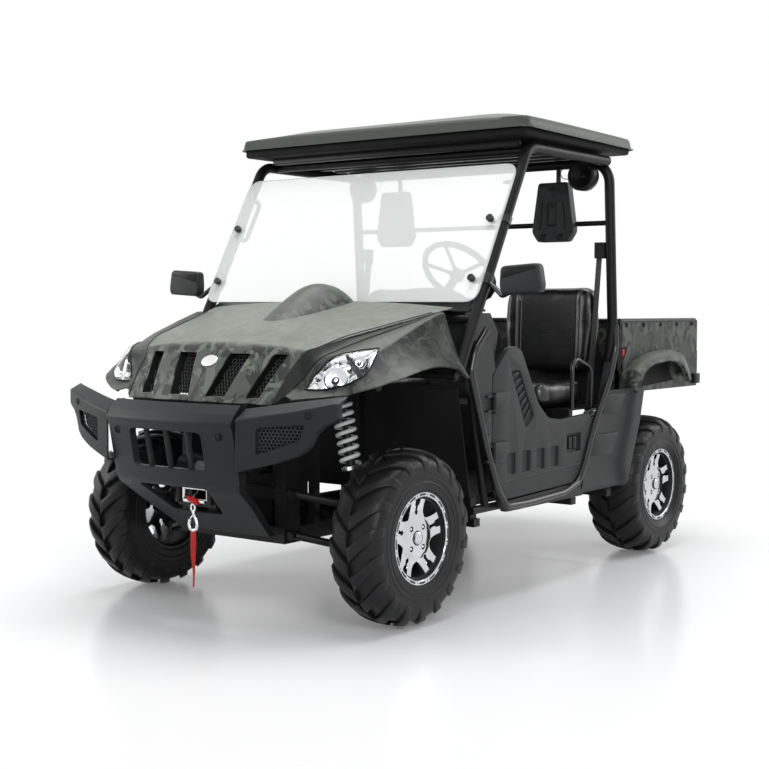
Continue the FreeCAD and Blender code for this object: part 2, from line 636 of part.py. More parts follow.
hood_hinge = Vector(0, nose - s.hinge_radius, s.hood_lip_height - s.hood_hinge_drop)
solid_node("hood", hood())
mesh_span_shares = (0.03, 0.08, 0.12, 0.16)
mesh_width_share = 0.93


def grille_wire(share):
    half, height = hood_edge(share)
    crown = s.hood_crown * min(share / 0.18, 1)
    points = [Vector(side * half * mesh_width_share, nose + share * s.hood_length,
                     height + crown * (1 - (side * mesh_width_share) ** 2) - s.hood_wall - s.seat_gap * 2)
              for side in (-1, -0.6, -0.2, 0.2, 0.6, 1)]
    return skin_section(points, s.mesh_wall)


solid_node("hood_grille", Part.makeLoft([grille_wire(share) for share in mesh_span_shares], True, True))

# Front posts: their centre lines, with the windscreen's plane just ahead of them
cage_front_knee = Vector(s.cage_half, cab_front + s.pillar_lean, s.cage_top)
shoulder_end = Vector(s.cage_half, shoulder_y, s.shoulder_height)
lean = cage_front_knee.sub(shoulder_end)
lean.normalize()
cage_front_foot = shoulder_end + lean * (s.sill_tube_radius + s.seat_gap)
rear_top_y = rear_axle - s.rear_pillar_top_gap


def pillar_at(height):
    """A point on the front post's centre line at a height."""
    return cage_front_foot + lean * ((height - cage_front_foot.z) / lean.z)


glass_out = Vector(0, -lean.z, lean.y)
glass_out.normalize()
glass_half = s.cage_half - s.cage_tube_radius - s.seat_gap
glass_low = pillar_at(s.glass_bottom) + glass_out * s.glass_gap
glass_high = pillar_at(s.glass_top) + glass_out * s.glass_gap


def glass_sheet(half, low, high, wall):
    """A sheet in the windscreen's plane."""
    face = flat_face([Vector(-half, low.y, low.z), Vector(half, low.y, low.z),
                      Vector(half, high.y, high.z), Vector(-half, high.y, high.z)])
    return face.extrude(wall)


# Cowl: the panel between the hood and the windscreen, with the back of the bulge
cowl_edge = hood_edge(1)
cowl_front = hood_rear + s.hood_gap
cowl_points = [Vector(side * glass_half, cowl_front,
                      cowl_edge[1] + s.hood_crown * (1 - abs(side) ** 2))
               for side in (-1, -0.6, -0.2, 0.2, 0.6, 1)]
cowl_back = [point + Vector(0, s.cowl_length, s.hood_crown) for point in cowl_points]
cowl_panel = Part.makeLoft([skin_section(cowl_points, s.hood_wall), skin_section(cowl_back, s.hood_wall)],
                           True, False)
cowl_bulge = bulge(cowl_front, hood_rear + s.cowl_length)
cowl = cowl_panel.fuse(cowl_bulge).removeSplitter()

# Dashboard: a moulded body under the cowl, as wide as the cab
dash_shares = [(0.02, 0.30), (0.0, 1.0), (0.75, 1.0), (1.0, 0.70), (0.80, 0.0), (0.35, 0.0)]
dash_front = pillar_at(s.dash_bar_height).y + s.sill_tube_radius + s.seat_gap
dash_bottom = s.hood_rear_height - s.hood_wall * 4 - s.dash_height
dash_face = flat_face([Vector(-s.dash_half, dash_front + along * s.dash_depth,
                              dash_bottom + up * s.dash_height)
                       for along, up in dash_shares])
dashboard = dash_face.extrude(Vector(s.dash_half * 2, 0, 0))
solid_node("dashboard", dashboard)

# Bumper: a curved band with end wings and a centre plate that sweeps back under the nose
bumper_front = front_axle - s.bumper_reach
arc_centre = Vector(0, bumper_front + s.bumper_radius, 0)
plate_shares = [(0.0, 1.0), (0.049, 0.905), (0.128, 0.584), (0.17, 0.45), (0.64, 0.187), (1.0, 0.0)]
plate_edge_shares = [(1.0, 1.2), (1.0, 0.57), (0.95, 0.42), (0.90, 0.27)]
wing_edge_shares = [(0.0, 0.853), (1.0, 1.0), (1.0, 0.725), (0.887, 0.667), (0.782, 0.57), (0.742, 0.45),
                    (0.66, 0.279), (0.402, 0.147), (0.0, 0.0)]
pocket_shares = [(0.212, 0.593), (0.70, 0.659), (0.643, 0.422), (0.21, 0.221)]


def swept(profile, half):
    """A profile of (depth behind the front, height), carried along the bumper's bend."""
    sweep = math.degrees(math.asin(half / s.bumper_radius))
    face = flat_face([Vector(s.bumper_radius - depth, 0, height) for depth, height in profile])
    face.rotate(Vector(0, 0, 0), Vector(0, 0, 1), -90 - sweep)
    return face.revolve(Vector(0, 0, 0), Vector(0, 0, 1), 2 * sweep).translated(arc_centre)


def through(outline):
    """A tool cut straight through the nose from an outline of (across, height)."""
    face = flat_face([Vector(across, bumper_front - s.cut_overrun, height) for across, height in outline])
    return face.extrude(Vector(0, s.bumper_reach, 0))


def both_ways(right_edge):
    """An outline closed by its mirror image."""
    return right_edge + [(-across, height) for across, height in reversed(right_edge)]


def wing_point(along, up):
    inner = s.plate_half + s.wing_gap
    return inner + along * (s.bumper_half - inner), s.wing_bottom + up * (s.wing_top - s.wing_bottom)


def bumper():
    rise = s.bumper_top - s.plate_bottom
    front = [(s.lip_depth, s.flange_height)]
    front += [(along * s.plate_depth, s.plate_bottom + up * rise) for along, up in plate_shares]
    back = [(depth + s.bumper_skin, height) for depth, height in reversed(front)]
    edge = [(across * s.plate_half, s.plate_bottom + up * rise) for across, up in plate_edge_shares]
    edge.append((s.plate_bottom_half, s.plate_bottom - s.bumper_skin))
    whole = swept(front + back, s.bumper_half).common(through(both_ways(edge)))
    wing_front = [(s.lip_depth, s.wing_top), (0, s.wing_fold), (0, s.wing_bottom)]
    wing_back = [(depth + s.bumper_skin, height) for depth, height in reversed(wing_front)]
    wings = swept(wing_front + wing_back, s.bumper_half * 1.01)
    pocket = swept([(-s.cut_overrun, s.wing_bottom), (s.pocket_depth, s.wing_bottom),
                    (s.pocket_depth, s.wing_top), (-s.cut_overrun, s.wing_top)], s.bumper_half)
    wing = wings.common(through([wing_point(*share) for share in wing_edge_shares]))
    wing = wing.cut(pocket.common(through([wing_point(*share) for share in pocket_shares])))
    rib_front = s.bumper_skin * 0.93
    rib_low = s.opening_bottom + s.lip_depth
    rib_high = s.bumper_top - s.pocket_depth
    strip = swept([(rib_front, rib_low), (s.lip_depth, rib_low), (s.lip_depth, rib_high),
                   (rib_front, rib_high)], s.bumper_half - s.lip_depth)
    whole = whole.fuse(strip).fuse(wing).fuse(mirrored(wing))
    opening_edge = [(s.opening_half, s.opening_bottom), (s.opening_half, s.opening_top)]
    mouth_edge = [(s.vent_low_half, s.vent_bottom), (s.vent_half, s.vent_top)]
    whole = whole.cut(through(both_ways(opening_edge))).cut(through(both_ways(mouth_edge)))
    bar_y = bumper_front + s.bumper_skin * 2.4
    bars = [rod(Vector(place * s.opening_half / 2, bar_y, s.opening_bottom - s.bar_radius),
                Vector(place * s.opening_half / 2, bar_y, s.opening_top + s.bar_radius),
                s.bar_radius) for place in (-1, 0, 1)]
    brackets = both_sides(block(Vector(s.rail_half - s.rail_width / 4, bumper_front + s.bumper_wall * 2,
                                       s.nose_post_height - s.rail_height),
                                Vector(s.rail_half + s.rail_width / 4, rail_front - s.seat_gap,
                                       s.nose_post_height)))
    pins = []
    reach = barrel_half + s.hinge_clearance
    for side in (-1, 1):
        centre = hood_hinge + Vector(side * s.hood_hinge_half, 0, 0)
        pins.append(Part.makeCylinder(s.hinge_pin_radius, 2 * (reach + s.hinge_radius),
                                      centre - Vector(reach + s.hinge_radius, 0, 0), Vector(1, 0, 0)))
        for low in (centre.x - reach - s.hinge_radius, centre.x + reach):
            pins.append(Part.makeCylinder(s.hinge_radius, s.hinge_radius, Vector(low, centre.y, centre.z),
                                          Vector(1, 0, 0)))
            pins.append(block(Vector(low, bumper_front + s.bumper_wall * 1.4, centre.z - s.hinge_radius),
                              Vector(low + s.hinge_radius, centre.y, centre.z)))
    return whole.multiFuse(bars).multiFuse(brackets).multiFuse(pins)


solid_node("bumper", bumper())

# Winch: drum and motor on a tray behind the bumper, roller fairlead in the bumper's lower mouth
fair_y = bumper_front + s.fairlead_reach
winch_y = fair_y + s.winch_radius + s.fairlead_wall / 2
winch_z = s.winch_base + s.deck_wall * 2 + s.winch_radius
tray_half = s.vent_low_half - s.deck_wall
drum = Part.makeCylinder(s.winch_radius, s.winch_width,
                         Vector(-s.winch_width / 2, winch_y, winch_z - s.deck_wall),
                         Vector(1, 0, 0))
tray = block(Vector(-tray_half, fair_y + s.fairlead_wall / 2, s.winch_base + s.seat_gap),
             Vector(tray_half, rail_front + s.cross_width * 2, s.winch_base + s.deck_wall * 1.5))
fair_z = s.winch_base - s.roller_radius
plate = block(Vector(-s.fairlead_width / 2, fair_y, fair_z - s.fairlead_height / 2),
              Vector(s.fairlead_width / 2, fair_y + s.fairlead_wall, fair_z + s.fairlead_height / 2))
mouth = block(Vector(-s.fairlead_width / 3, fair_y - s.cut_overrun, fair_z - s.fairlead_height / 4),
              Vector(s.fairlead_width / 3, fair_y + s.fairlead_wall / 2, fair_z + s.fairlead_height / 4))
rollers = [rod(Vector(-s.fairlead_width / 2.5, fair_y, fair_z + side * s.fairlead_height / 4),
               Vector(s.fairlead_width / 2.5, fair_y, fair_z + side * s.fairlead_height / 4),
               s.roller_radius) for side in (-1, 1)]
solid_node("winch", fused(drum, tray, plate.cut(mouth), *rollers))

# Winch hook: a forged hook hanging from the fairlead, with a pull strap below it
hook_y = fair_y - s.roller_radius - s.hook_wall - s.seat_gap
hook_top = fair_z - s.fairlead_height / 4
hook_bend = s.hook_width / 2 - s.hook_wall / 2
hook_centre = Vector(0, hook_y, hook_top - s.hook_height - hook_bend / 2)
hook_path = [Vector(0, hook_y, hook_top), Vector(0, hook_y, hook_centre.z + hook_bend * 1.2),
             Vector(hook_bend, hook_y, hook_centre.z + hook_bend * 0.6),
             Vector(hook_bend, hook_y, hook_centre.z - hook_bend),
             Vector(-hook_bend, hook_y, hook_centre.z - hook_bend),
             Vector(-hook_bend, hook_y, hook_centre.z + hook_bend / 2)]
hook = tube(hook_path, s.hook_wall / 2, s.hook_wall)
hook_eye = Part.makeCylinder(s.hook_wall, s.hook_wall * 1.5,
                             Vector(-s.hook_wall * 0.75, hook_y, hook_top), Vector(1, 0, 0))
solid_node("winch_hook", hook.fuse(hook_eye).removeSplitter())

# Pull strap: a short flat strap that hangs free from the hook; its route is a list of places
strap_top = hook_centre.z - hook_bend - s.hook_wall / 2
strap_route = [Vector(0, hook_y, strap_top), Vector(1, hook_y - 1, strap_top - 50),
               Vector(-1, hook_y, strap_top - 100), Vector(2, hook_y + 1, strap_top - 152),
               Vector(0, hook_y, strap_top - 205)]
strap_path = rounded_path(strap_route, s.strap_width * 8)
strap_ring = Part.makePolygon([Vector(x * s.strap_width / 2, hook_y + y * s.strap_wall / 2, strap_top)
                               for x, y in ((-1, -1), (1, -1), (1, 1), (-1, 1), (-1, -1))])
solid_node("hook_strap", strap_path.makePipeShell([strap_ring], True, False))

# Windscreen: one flat sheet between the front posts
solid_node("windscreen", glass_sheet(glass_half, glass_low, glass_high, glass_out * s.glass_wall))
behind_glass = glass_sheet(s.roof_half, pillar_at(s.belt_height), pillar_at(s.glass_top),
                           Vector(0, s.cowl_length * 2, 0))
behind_glass = behind_glass.translated(glass_out * (s.glass_gap + s.glass_wall + s.seat_gap))
solid_node("cowl", cowl.cut(behind_glass))

# Front cage: the two front posts run back as the roof rails, joined by a cross tube
rail_end = Vector(s.cage_half, rear_top_y - s.cage_tube_radius, s.cage_top)
post = tube([cage_front_foot, cage_front_knee, rail_end], s.cage_tube_radius, s.cage_bend)
brow = rod(Vector(-s.cage_half, cage_front_knee.y + s.cage_bend, s.cage_top),
           Vector(s.cage_half, cage_front_knee.y + s.cage_bend, s.cage_top), s.cage_tube_radius * 0.8)
dash_bar = pillar_at(s.dash_bar_height)
brace = rod(Vector(-dash_bar.x, dash_bar.y, dash_bar.z), dash_bar, s.sill_tube_radius)
clamp_height_shares = (0.15, 0.85)
clamps = []
for share in clamp_height_shares:
    centre = pillar_at(s.glass_bottom + share * (s.glass_top - s.glass_bottom))
    front = centre + glass_out * (s.glass_gap + s.glass_wall + s.seat_gap)
    strap = rod(front - Vector(s.cage_tube_radius * 2, 0, 0), front, s.cage_tube_radius / 3)
    clamps.append(strap.translated(glass_out * s.cage_tube_radius / 3))
solid_node("cage_front", fused(*both_sides(post), brow, brace, *both_sides(*clamps)))

# Rear cage: a hoop behind the seats with a cross bar, standing on the chassis
hoop_points = [Vector(rear_foot_half, rear_foot_y, rail_top + s.seat_gap * 3),
               Vector(rear_foot_half, rear_foot_y - s.cage_tube_radius / 2,
                      s.sill_height + 0.68 * cab_height),
               Vector(s.cage_half, rear_foot_y - s.cage_tube_radius, s.belt_height + s.cage_tube_radius * 2),
               Vector(s.cage_half, rear_top_y, s.cage_top)]
hoop_points += [Vector(-point.x, point.y, point.z) for point in reversed(hoop_points)]
hoop = tube(hoop_points, s.cage_tube_radius, s.cage_bend)
board_centre_height = s.cage_top - s.board_drop
head_bar_height = board_centre_height - s.board_height * 0.2
board_back = rear_top_y + s.rod_radius / 2
head_bar_y = board_back + s.rod_radius + s.seat_gap
head_bar = rod(Vector(-s.cage_half, head_bar_y, head_bar_height),
               Vector(s.cage_half, head_bar_y, head_bar_height), s.rod_radius)
solid_node("cage_rear", fused(hoop, head_bar))

# Roof: a lofted plastic shell with side skirts and a raised rear centre
roof_front = cab_front + s.cab_front_gap
roof_back = rear_axle - s.roof_rear_gap
roof_station_shares = [(0.0, 0.94, 0.10), (0.10, 0.97, 0.72), (0.30, 1.0, 1.0), (0.70, 1.0, 1.0),
                       (1.0, 0.98, 0.72)]


def roof():
    wires = []
    for along, width, height in roof_station_shares:
        place = roof_front + along * (roof_back - roof_front)
        half = s.roof_half * width
        points = [Vector(side * half, place, roof_side_height + s.roof_rise * height * (1 - abs(side) ** 2.2))
                  for side in (-1, -0.7, -0.3, 0.3, 0.7, 1)]
        wires.append(skin_section(points, s.roof_wall))
    shell = Part.makeLoft(wires, True, False)
    skirt_half = s.roof_half * 0.965
    skirt = [block(Vector(side * skirt_half - s.roof_wall / 2, roof_front, roof_side_height - s.roof_skirt),
                   Vector(side * skirt_half + s.roof_wall / 2, roof_back, roof_side_height + s.roof_wall))
             for side in (-1, 1)]
    pads = []
    for side in (-1, 1):
        for place in (cage_front_knee.y + s.cage_bend, rear_top_y - s.cage_bend * 2):
            tall = block(Vector(side * s.cage_half - s.cage_tube_radius, place,
                                s.cage_top + s.cage_tube_radius + s.seat_gap),
                         Vector(side * s.cage_half + s.cage_tube_radius, place + s.cross_width,
                                roof_side_height + s.roof_rise * 2))
            pads.append(min(tall.cut(shell).Solids, key=lambda solid: solid.CenterOfMass.z))
    return shell.multiFuse(skirt + pads).removeSplitter()


solid_node("roof", roof())

# Head boards: two moulded boards on rods from the roof, behind the heads
board_y = board_back - s.board_wall
board_shares = [(-1, 0.12), (-0.7, 0), (0.7, 0), (1, 0.12), (1, 0.62), (0.75, 1), (-0.75, 1), (-1, 0.62)]


def rounded(shape, radius, direction):
    """A shape with its edges along one direction rounded."""
    picked = [edge for edge in shape.Edges
              if len(edge.Vertexes) == 2 and abs(edge.tangentAt(edge.FirstParameter).dot(direction)) > 0.999]
    return shape.makeFillet(radius, picked)


def head_board():
    width = s.board_width / 2
    low = board_centre_height - s.board_height / 2
    corners = [Vector(s.board_half + across * width, board_y, low + up * s.board_height)
               for across, up in board_shares]
    board = rounded(flat_face(corners).extrude(Vector(0, s.board_wall, 0)), s.board_corner, Vector(0, 1, 0))
    stem = rod(Vector(s.board_half, board_back - s.rod_radius, low + s.board_height / 2),
               Vector(s.board_half, board_back - s.rod_radius, s.cage_top - s.cage_tube_radius - s.seat_gap),
               s.rod_radius)
    return board.fuse(stem).removeSplitter()


solid_node("headrests", *both_sides(head_board()))

# Speakers: round pods under the roof's rear corners, each with a rim round its sunk front
pod_front = rear_top_y - s.speaker_depth - s.cage_tube_radius
pod_centre = Vector(s.speaker_half, pod_front, s.speaker_height)
pod = Part.makeCylinder(s.speaker_radius, s.speaker_depth, pod_centre, Vector(0, 1, 0))
mouth = Part.makeCylinder(s.speaker_radius - s.speaker_rim, s.speaker_rim, pod_centre, Vector(0, 1, 0))
solid_node("speakers", *both_sides(pod.cut(mouth)))

# Mirrors: rounded housings on short stalks from the front posts, with a recess for the glass
mirror_post = pillar_at(s.mirror_centre_height)
housing = block(Vector(s.mirror_centre - s.mirror_width / 2, mirror_post.y - s.mirror_depth,
                       s.mirror_centre_height - s.mirror_height / 2),
                Vector(s.mirror_centre + s.mirror_width / 2, mirror_post.y,
                       s.mirror_centre_height + s.mirror_height / 2))
housing = rounded(housing, s.mirror_corner, Vector(0, 1, 0))
front_rim = [edge for edge in housing.Edges if edge.BoundBox.YMax < mirror_post.y - s.mirror_depth * 0.9]
housing = housing.makeFillet(s.mirror_corner / 2, front_rim)
inner_half = s.mirror_width / 2 - s.mirror_rim
recess = block(Vector(s.mirror_centre - inner_half, mirror_post.y - s.mirror_rim,
                      s.mirror_centre_height - s.mirror_height / 2 + s.mirror_rim),
               Vector(s.mirror_centre + inner_half, mirror_post.y + s.cut_overrun,
                      s.mirror_centre_height + s.mirror_height / 2 - s.mirror_rim))
housing = housing.cut(rounded(recess, s.mirror_corner - s.mirror_rim, Vector(0, 1, 0)))
stalk = rod(mirror_post, Vector(s.mirror_centre, mirror_post.y - s.mirror_depth / 2, s.mirror_centre_height),
            s.rod_radius)
stalk = stalk.cut(rod(shoulder_end, cage_front_knee, s.cage_tube_radius + s.seat_gap))
stalk = max(stalk.Solids, key=lambda solid: solid.CenterOfMass.x)
stalk = stalk.cut(rounded(recess, s.mirror_corner - s.mirror_rim, Vector(0, 1, 0)))
stalk = min(stalk.Solids, key=lambda solid: solid.CenterOfMass.x)
solid_node("mirrors", *both_sides(housing.fuse(stalk).removeSplitter()))

# Seats: plain cushions and backs that stand on the seat deck
seat_front = cab_front + floor_shares[3][0] * cab_length - s.cushion_length / 3
deck_height = s.sill_height + floor_shares[3][1] * cab_height + s.floor_wall + s.seat_clearance
bulkhead_y = cab_front + floor_shares[4][0] * cab_length - s.floor_wall - s.seat_clearance
cushion = block(Vector(s.seat_centre - s.cushion_width / 2, seat_front, deck_height),
                Vector(s.seat_centre + s.cushion_width / 2, bulkhead_y - s.back_thickness,
                       deck_height + s.cushion_height))
solid_node("seat_cushions", *both_sides(cushion))
back = block(Vector(s.seat_centre - s.back_width / 2, bulkhead_y - s.back_thickness * 1.1,
                    deck_height + s.cushion_height + s.seat_clearance),
             Vector(s.seat_centre + s.back_width / 2, bulkhead_y - s.back_thickness * 0.1,
                    deck_height + s.cushion_height + s.back_height))
solid_node("seat_backs", *both_sides(back))

# Grab loops: a hip loop beside each seat and the passenger's handle on the right front post
loop_front = cab_front + floor_shares[3][0] * cab_length + s.loop_radius * 3
loop_rear = loop_front + s.loop_length_share * cab_length
loop_foot = s.sill_height + floor_shares[3][1] * cab_height + s.floor_wall
hip_loop = tube([Vector(s.loop_half, loop_front, loop_foot),
                 Vector(s.loop_half, loop_front, loop_foot + s.loop_height),
                 Vector(s.loop_half, loop_rear, loop_foot + s.loop_height * 0.75),
                 Vector(s.loop_half, loop_rear, loop_foot)], s.loop_radius, s.loop_radius * 5)
handle_top = pillar_at(s.glass_bottom + (s.glass_top - s.glass_bottom) * 0.84)
handle_low = handle_top - lean * s.handle_length
handle_out = Vector(0, s.handle_radius * 7, 0)
handle = tube([handle_top, handle_top + handle_out, handle_low + handle_out, handle_low], s.handle_radius)
handle = mirrored(handle.cut(post))
solid_node("grab_loops", *both_sides(hip_loop), handle)

# Seat belts: a reel on each rear post, with its webbing down to the seat's outer side
belt_x = s.cage_half - s.cage_tube_radius - s.belt_width / 2 - s.seat_gap
reel_height = s.cage_top - (s.cage_top - s.belt_height) * 0.55
reel_y = rear_top_y + (rear_foot_y - s.cage_tube_radius - rear_top_y) * 0.55
reel = block(Vector(belt_x - s.belt_width / 2, reel_y - s.belt_width / 2, reel_height),
             Vector(belt_x + s.belt_width / 2, reel_y + s.belt_width / 2, reel_height + s.belt_width * 1.5))
strap_x = s.seat_centre + s.cushion_width / 2 + s.belt_wall
strap_end = Vector(strap_x, bulkhead_y - s.back_thickness * 1.7, deck_height)
strap_start = Vector(strap_x, reel_y - s.belt_width / 2, reel_height)
strap_face = flat_face([strap_start, strap_end, strap_end + Vector(0, s.belt_width, 0),
                        strap_start + Vector(0, s.belt_width, 0)])
webbing = strap_face.extrude(Vector(s.belt_wall, 0, 0))
solid_node("seat_belts", *both_sides(reel.fuse(webbing).removeSplitter()))

# Steering: column from the dashboard and a wheel with three spokes
steer_y = front_axle + s.steering_gap
column_turn = math.radians(s.column_angle)
steer_axis = Vector(0, math.cos(column_turn), math.sin(column_turn))
steer_centre = Vector(s.seat_centre, steer_y, s.steering_height)
column_end = steer_centre - steer_axis * (s.grip_radius * 2 + s.wheel_gap)
column = rod(column_end - steer_axis * s.column_length, column_end, s.column_radius)
solid_node("steering_column", column.cut(dashboard))


def steering_wheel():
    across = Vector(1, 0, 0)
    upward = across.cross(steer_axis) * -1
    ring_count = 20
    sides = 6
    rings = []
    for index in range(ring_count):
        turn = 2 * math.pi * index / ring_count
        outward = across * math.cos(turn) + upward * math.sin(turn)
        ring = []
        for step in range(sides):
            lift = 2 * math.pi * step / sides
            ring.append(steer_centre + outward * (s.steering_radius + s.grip_radius * math.cos(lift))
                        + steer_axis * (s.grip_radius * math.sin(lift)))
        rings.append(ring)
    facets = []
    for index in range(ring_count):
        here = rings[index]
        there = rings[(index + 1) % ring_count]
        for step in range(sides):
            after = (step + 1) % sides
            facets.append((here[step], there[step], there[after], here[after]))
    rim = faceted_solid([[tuple(corner) for corner in facet] for facet in facets])
    hub = rod(steer_centre - steer_axis * s.grip_radius * 2, steer_centre, s.column_radius * 1.6)
    spokes = []
    for turn in (math.radians(-20), math.radians(200), math.radians(-90)):
        outward = across * math.cos(turn) + upward * math.sin(turn)
        spokes.append(rod(steer_centre - steer_axis * s.grip_radius,
                          steer_centre + outward * s.steering_radius,
                          s.grip_radius * 0.6))
    return rim.fuse(hub.multiFuse(spokes))


solid_node("steering_wheel", steering_wheel())


# Suspension: a lower and an upper wishbone at each wheel, with a spring and damper unit
bush_x = rail_face + s.seat_gap + s.bush_radius
ball_x = s.kingpin_half
ball_reach = s.arm_radius + s.deck_wall


def wishbone(axle, ball, inner_height):
    pieces = [Part.makeCylinder(s.ball_radius, ball_reach * 2, ball - Vector(0, 0, ball_reach))]
    for side in (-1, 1):
        inner = Vector(bush_x, axle + side * s.arm_spread, inner_height)
        pieces.append(rod(inner, ball, s.arm_radius))
        pieces.append(Part.makeCylinder(s.bush_radius, s.bush_length, inner - Vector(0, s.bush_length / 2, 0),
                                        Vector(0, 1, 0)))
    wing = fused(*pieces)
    trim = block(Vector(0, inner.y - s.arm_spread * 3, 0),
                 Vector(rail_face + s.seat_gap, inner.y + s.arm_spread, s.belt_height))
    return wing.cut(trim)


def leg_point(axle, side, half):
    """A point on an upper wishbone's leg at a distance from the centre plane."""
    share = (ball_x - half) / (ball_x - bush_x)
    return Vector(half, axle + side * s.arm_spread * share,
                  s.upper_ball_height + (s.upper_arm_height - s.upper_ball_height) * share)


arm_shapes = []
for axle in (front_axle, rear_axle):
    arm_shapes.append(wishbone(axle, Vector(ball_x, axle, s.lower_ball_height), s.lower_arm_height))
    upper = wishbone(axle, Vector(ball_x, axle, s.upper_ball_height), s.upper_arm_height)
    pin = rod(leg_point(axle, -1, s.shock_foot_half), leg_point(axle, 1, s.shock_foot_half), s.damper_radius)
    arm_shapes.append(upper.fuse(pin).removeSplitter())
solid_node("suspension_arms", *both_sides(*arm_shapes))

spring_span_shares = (0.16, 0.92)
shock_shapes = []
for axle, tower_height in ((front_axle, s.shock_top_height), (rear_axle, s.rear_shock_top_height)):
    pin = leg_point(axle, 0, s.shock_foot_half)
    foot = pin + Vector(0, 0, s.damper_radius + s.eye_radius + s.seat_gap)
    top = Vector(s.shock_top_half, axle, tower_height - s.eye_radius - s.seat_gap)
    along = top.sub(foot)
    eye_half = Vector(0, s.eye_radius, 0)
    eyes = [rod(place - eye_half, place + eye_half, s.eye_radius) for place in (foot, top)]
    spring = rod(foot + along * spring_span_shares[0], foot + along * spring_span_shares[1], s.spring_radius)
    shock_shapes.append(fused(spring, rod(foot, top, s.damper_radius), *eyes))
solid_node("shocks", *both_sides(*shock_shapes))

# Driveline: a differential at each axle, with shafts and rubber boots out to the hubs
drive_shapes = []
shaft_inner_height = s.tyre_radius + s.diff_lift
for axle in (front_axle, rear_axle):
    case = block(Vector(-s.diff_width / 2, axle - s.diff_length / 2, cross_top + s.seat_gap),
                 Vector(s.diff_width / 2, axle + s.diff_length / 2, cross_top + s.diff_height))
    start = Vector(s.diff_width / 2 - s.cut_overrun, axle, shaft_inner_height)
    end = Vector(ball_x, axle, s.tyre_radius)
    along = end.sub(start)
    along.normalize()
    shaft = rod(start, end, s.shaft_radius)
    small = s.boot_radius / 2
    boots = [Part.makeCone(small, s.boot_radius, s.boot_length, end - along * s.boot_length, along),
             Part.makeCone(s.boot_radius, small, s.boot_length, start + along * s.cut_overrun, along)]
    drive_shapes.append(fused(case, *both_sides(shaft, *boots)))
solid_node("driveline", *drive_shapes)


# Knuckles: carriers between the ball joints, with the stub that the hub turns on
rim_half_share = 0.40


def hub_back(width):
    """Distance from a wheel's middle out to the back of its hub."""
    return rim_half_share * width - s.rim_lip * 2 - s.hub_depth


def knuckle(axle, half_track, width):
    post_inner = s.kingpin_half + s.ball_radius * 1.5
    post_outer = post_inner + s.ball_radius * 1.5
    low = s.lower_ball_height + ball_reach + s.seat_gap
    high = s.upper_ball_height - ball_reach - s.seat_gap
    pieces = [block(Vector(post_inner, axle - s.knuckle_radius / 2, low),
                    Vector(post_outer, axle + s.knuckle_radius / 2, high))]
    for bottom in (low, high - s.knuckle_lug):
        pieces.append(Part.makeCylinder(s.ball_radius, s.knuckle_lug, Vector(s.kingpin_half, axle, bottom)))
        pieces.append(block(Vector(s.kingpin_half, axle - s.ball_radius, bottom),
                            Vector(post_outer, axle + s.ball_radius, bottom + s.knuckle_lug)))
    stub_end = half_track + hub_back(width) - s.wheel_gap
    pieces.append(Part.makeCylinder(s.knuckle_radius / 2, stub_end - post_inner,
                                    Vector(post_inner, axle, s.tyre_radius), Vector(1, 0, 0)))
    return fused(*pieces)


front_knuckle = knuckle(front_axle, s.front_half_track, s.front_tyre_width)
solid_node("knuckle_left", front_knuckle)
solid_node("knuckle_right", mirrored(front_knuckle))
solid_node("rear_knuckles", *both_sides(knuckle(rear_axle, s.rear_half_track, s.rear_tyre_width)))


# Wheels: tyres with two rows of raised lugs in a chevron, on rims with five spokes
def tyre(width):
    pitch = 2 * math.pi / LUG_COUNT
    crown = s.tyre_radius - s.lug_height
    rows = [(0.02 * width, crown, s.tyre_radius, 0.0),
            (0.22 * width, crown - s.carcass_drop * 0.2, s.tyre_radius - s.carcass_drop * 0.1, 0.35),
            (0.40 * width, crown - s.carcass_drop, s.tyre_radius - s.carcass_drop * 0.5, 0.70),
            (0.495 * width, crown - s.carcass_drop * 3, s.tyre_radius - s.carcass_drop * 2.4, 0.80)]
    bulge_ring = (0.5 * width, (s.tyre_radius + s.bead_radius) / 2, 0.80)
    bead_ring = (rim_half_share * width, s.bead_radius, 0.80)
    facets = []
    for side in (-1, 1):
        for index in range(LUG_COUNT):
            start = pitch * (index + (0 if side > 0 else 0.5))
            middle = start + pitch / 2
            end = start + pitch

            def low(row, turn):
                return around(side * rows[row][0], rows[row][1], turn + rows[row][3] * pitch)

            def high(row, turn):
                return around(side * rows[row][0], rows[row][2], turn + rows[row][3] * pitch)

            for row in range(3):
                facets.append((low(row, middle), low(row + 1, middle), low(row + 1, end), low(row, end)))
                facets.append((high(row, start), high(row + 1, start),
                               high(row + 1, middle), high(row, middle)))
                for turn in (start, middle):
                    facets.append((low(row, turn), low(row + 1, turn), high(row + 1, turn), high(row, turn)))
            facets.append((low(0, start), low(0, middle), high(0, middle), high(0, start)))
            facets.append((low(3, start), low(3, middle), high(3, middle), high(3, start)))
            for first, last in ((start, middle), (middle, end)):
                bulge_pair = [around(side * bulge_ring[0], bulge_ring[1], turn + bulge_ring[2] * pitch)
                              for turn in (first, last)]
                bead_pair = [around(side * bead_ring[0], bead_ring[1], turn + bead_ring[2] * pitch)
                             for turn in (first, last)]
                facets.append((low(3, first), low(3, last), bulge_pair[1], bulge_pair[0]))
                facets.append((bulge_pair[0], bulge_pair[1], bead_pair[1], bead_pair[0]))
                if side > 0:
                    facets.append((low(0, first), low(0, last), around(-rows[0][0], crown, last),
                                   around(-rows[0][0], crown, first)))
                    facets.append((bead_pair[0], bead_pair[1],
                                   around(-bead_ring[0], bead_ring[1], last + bead_ring[2] * pitch),
                                   around(-bead_ring[0], bead_ring[1], first + bead_ring[2] * pitch)))
    return faceted_solid(facets)


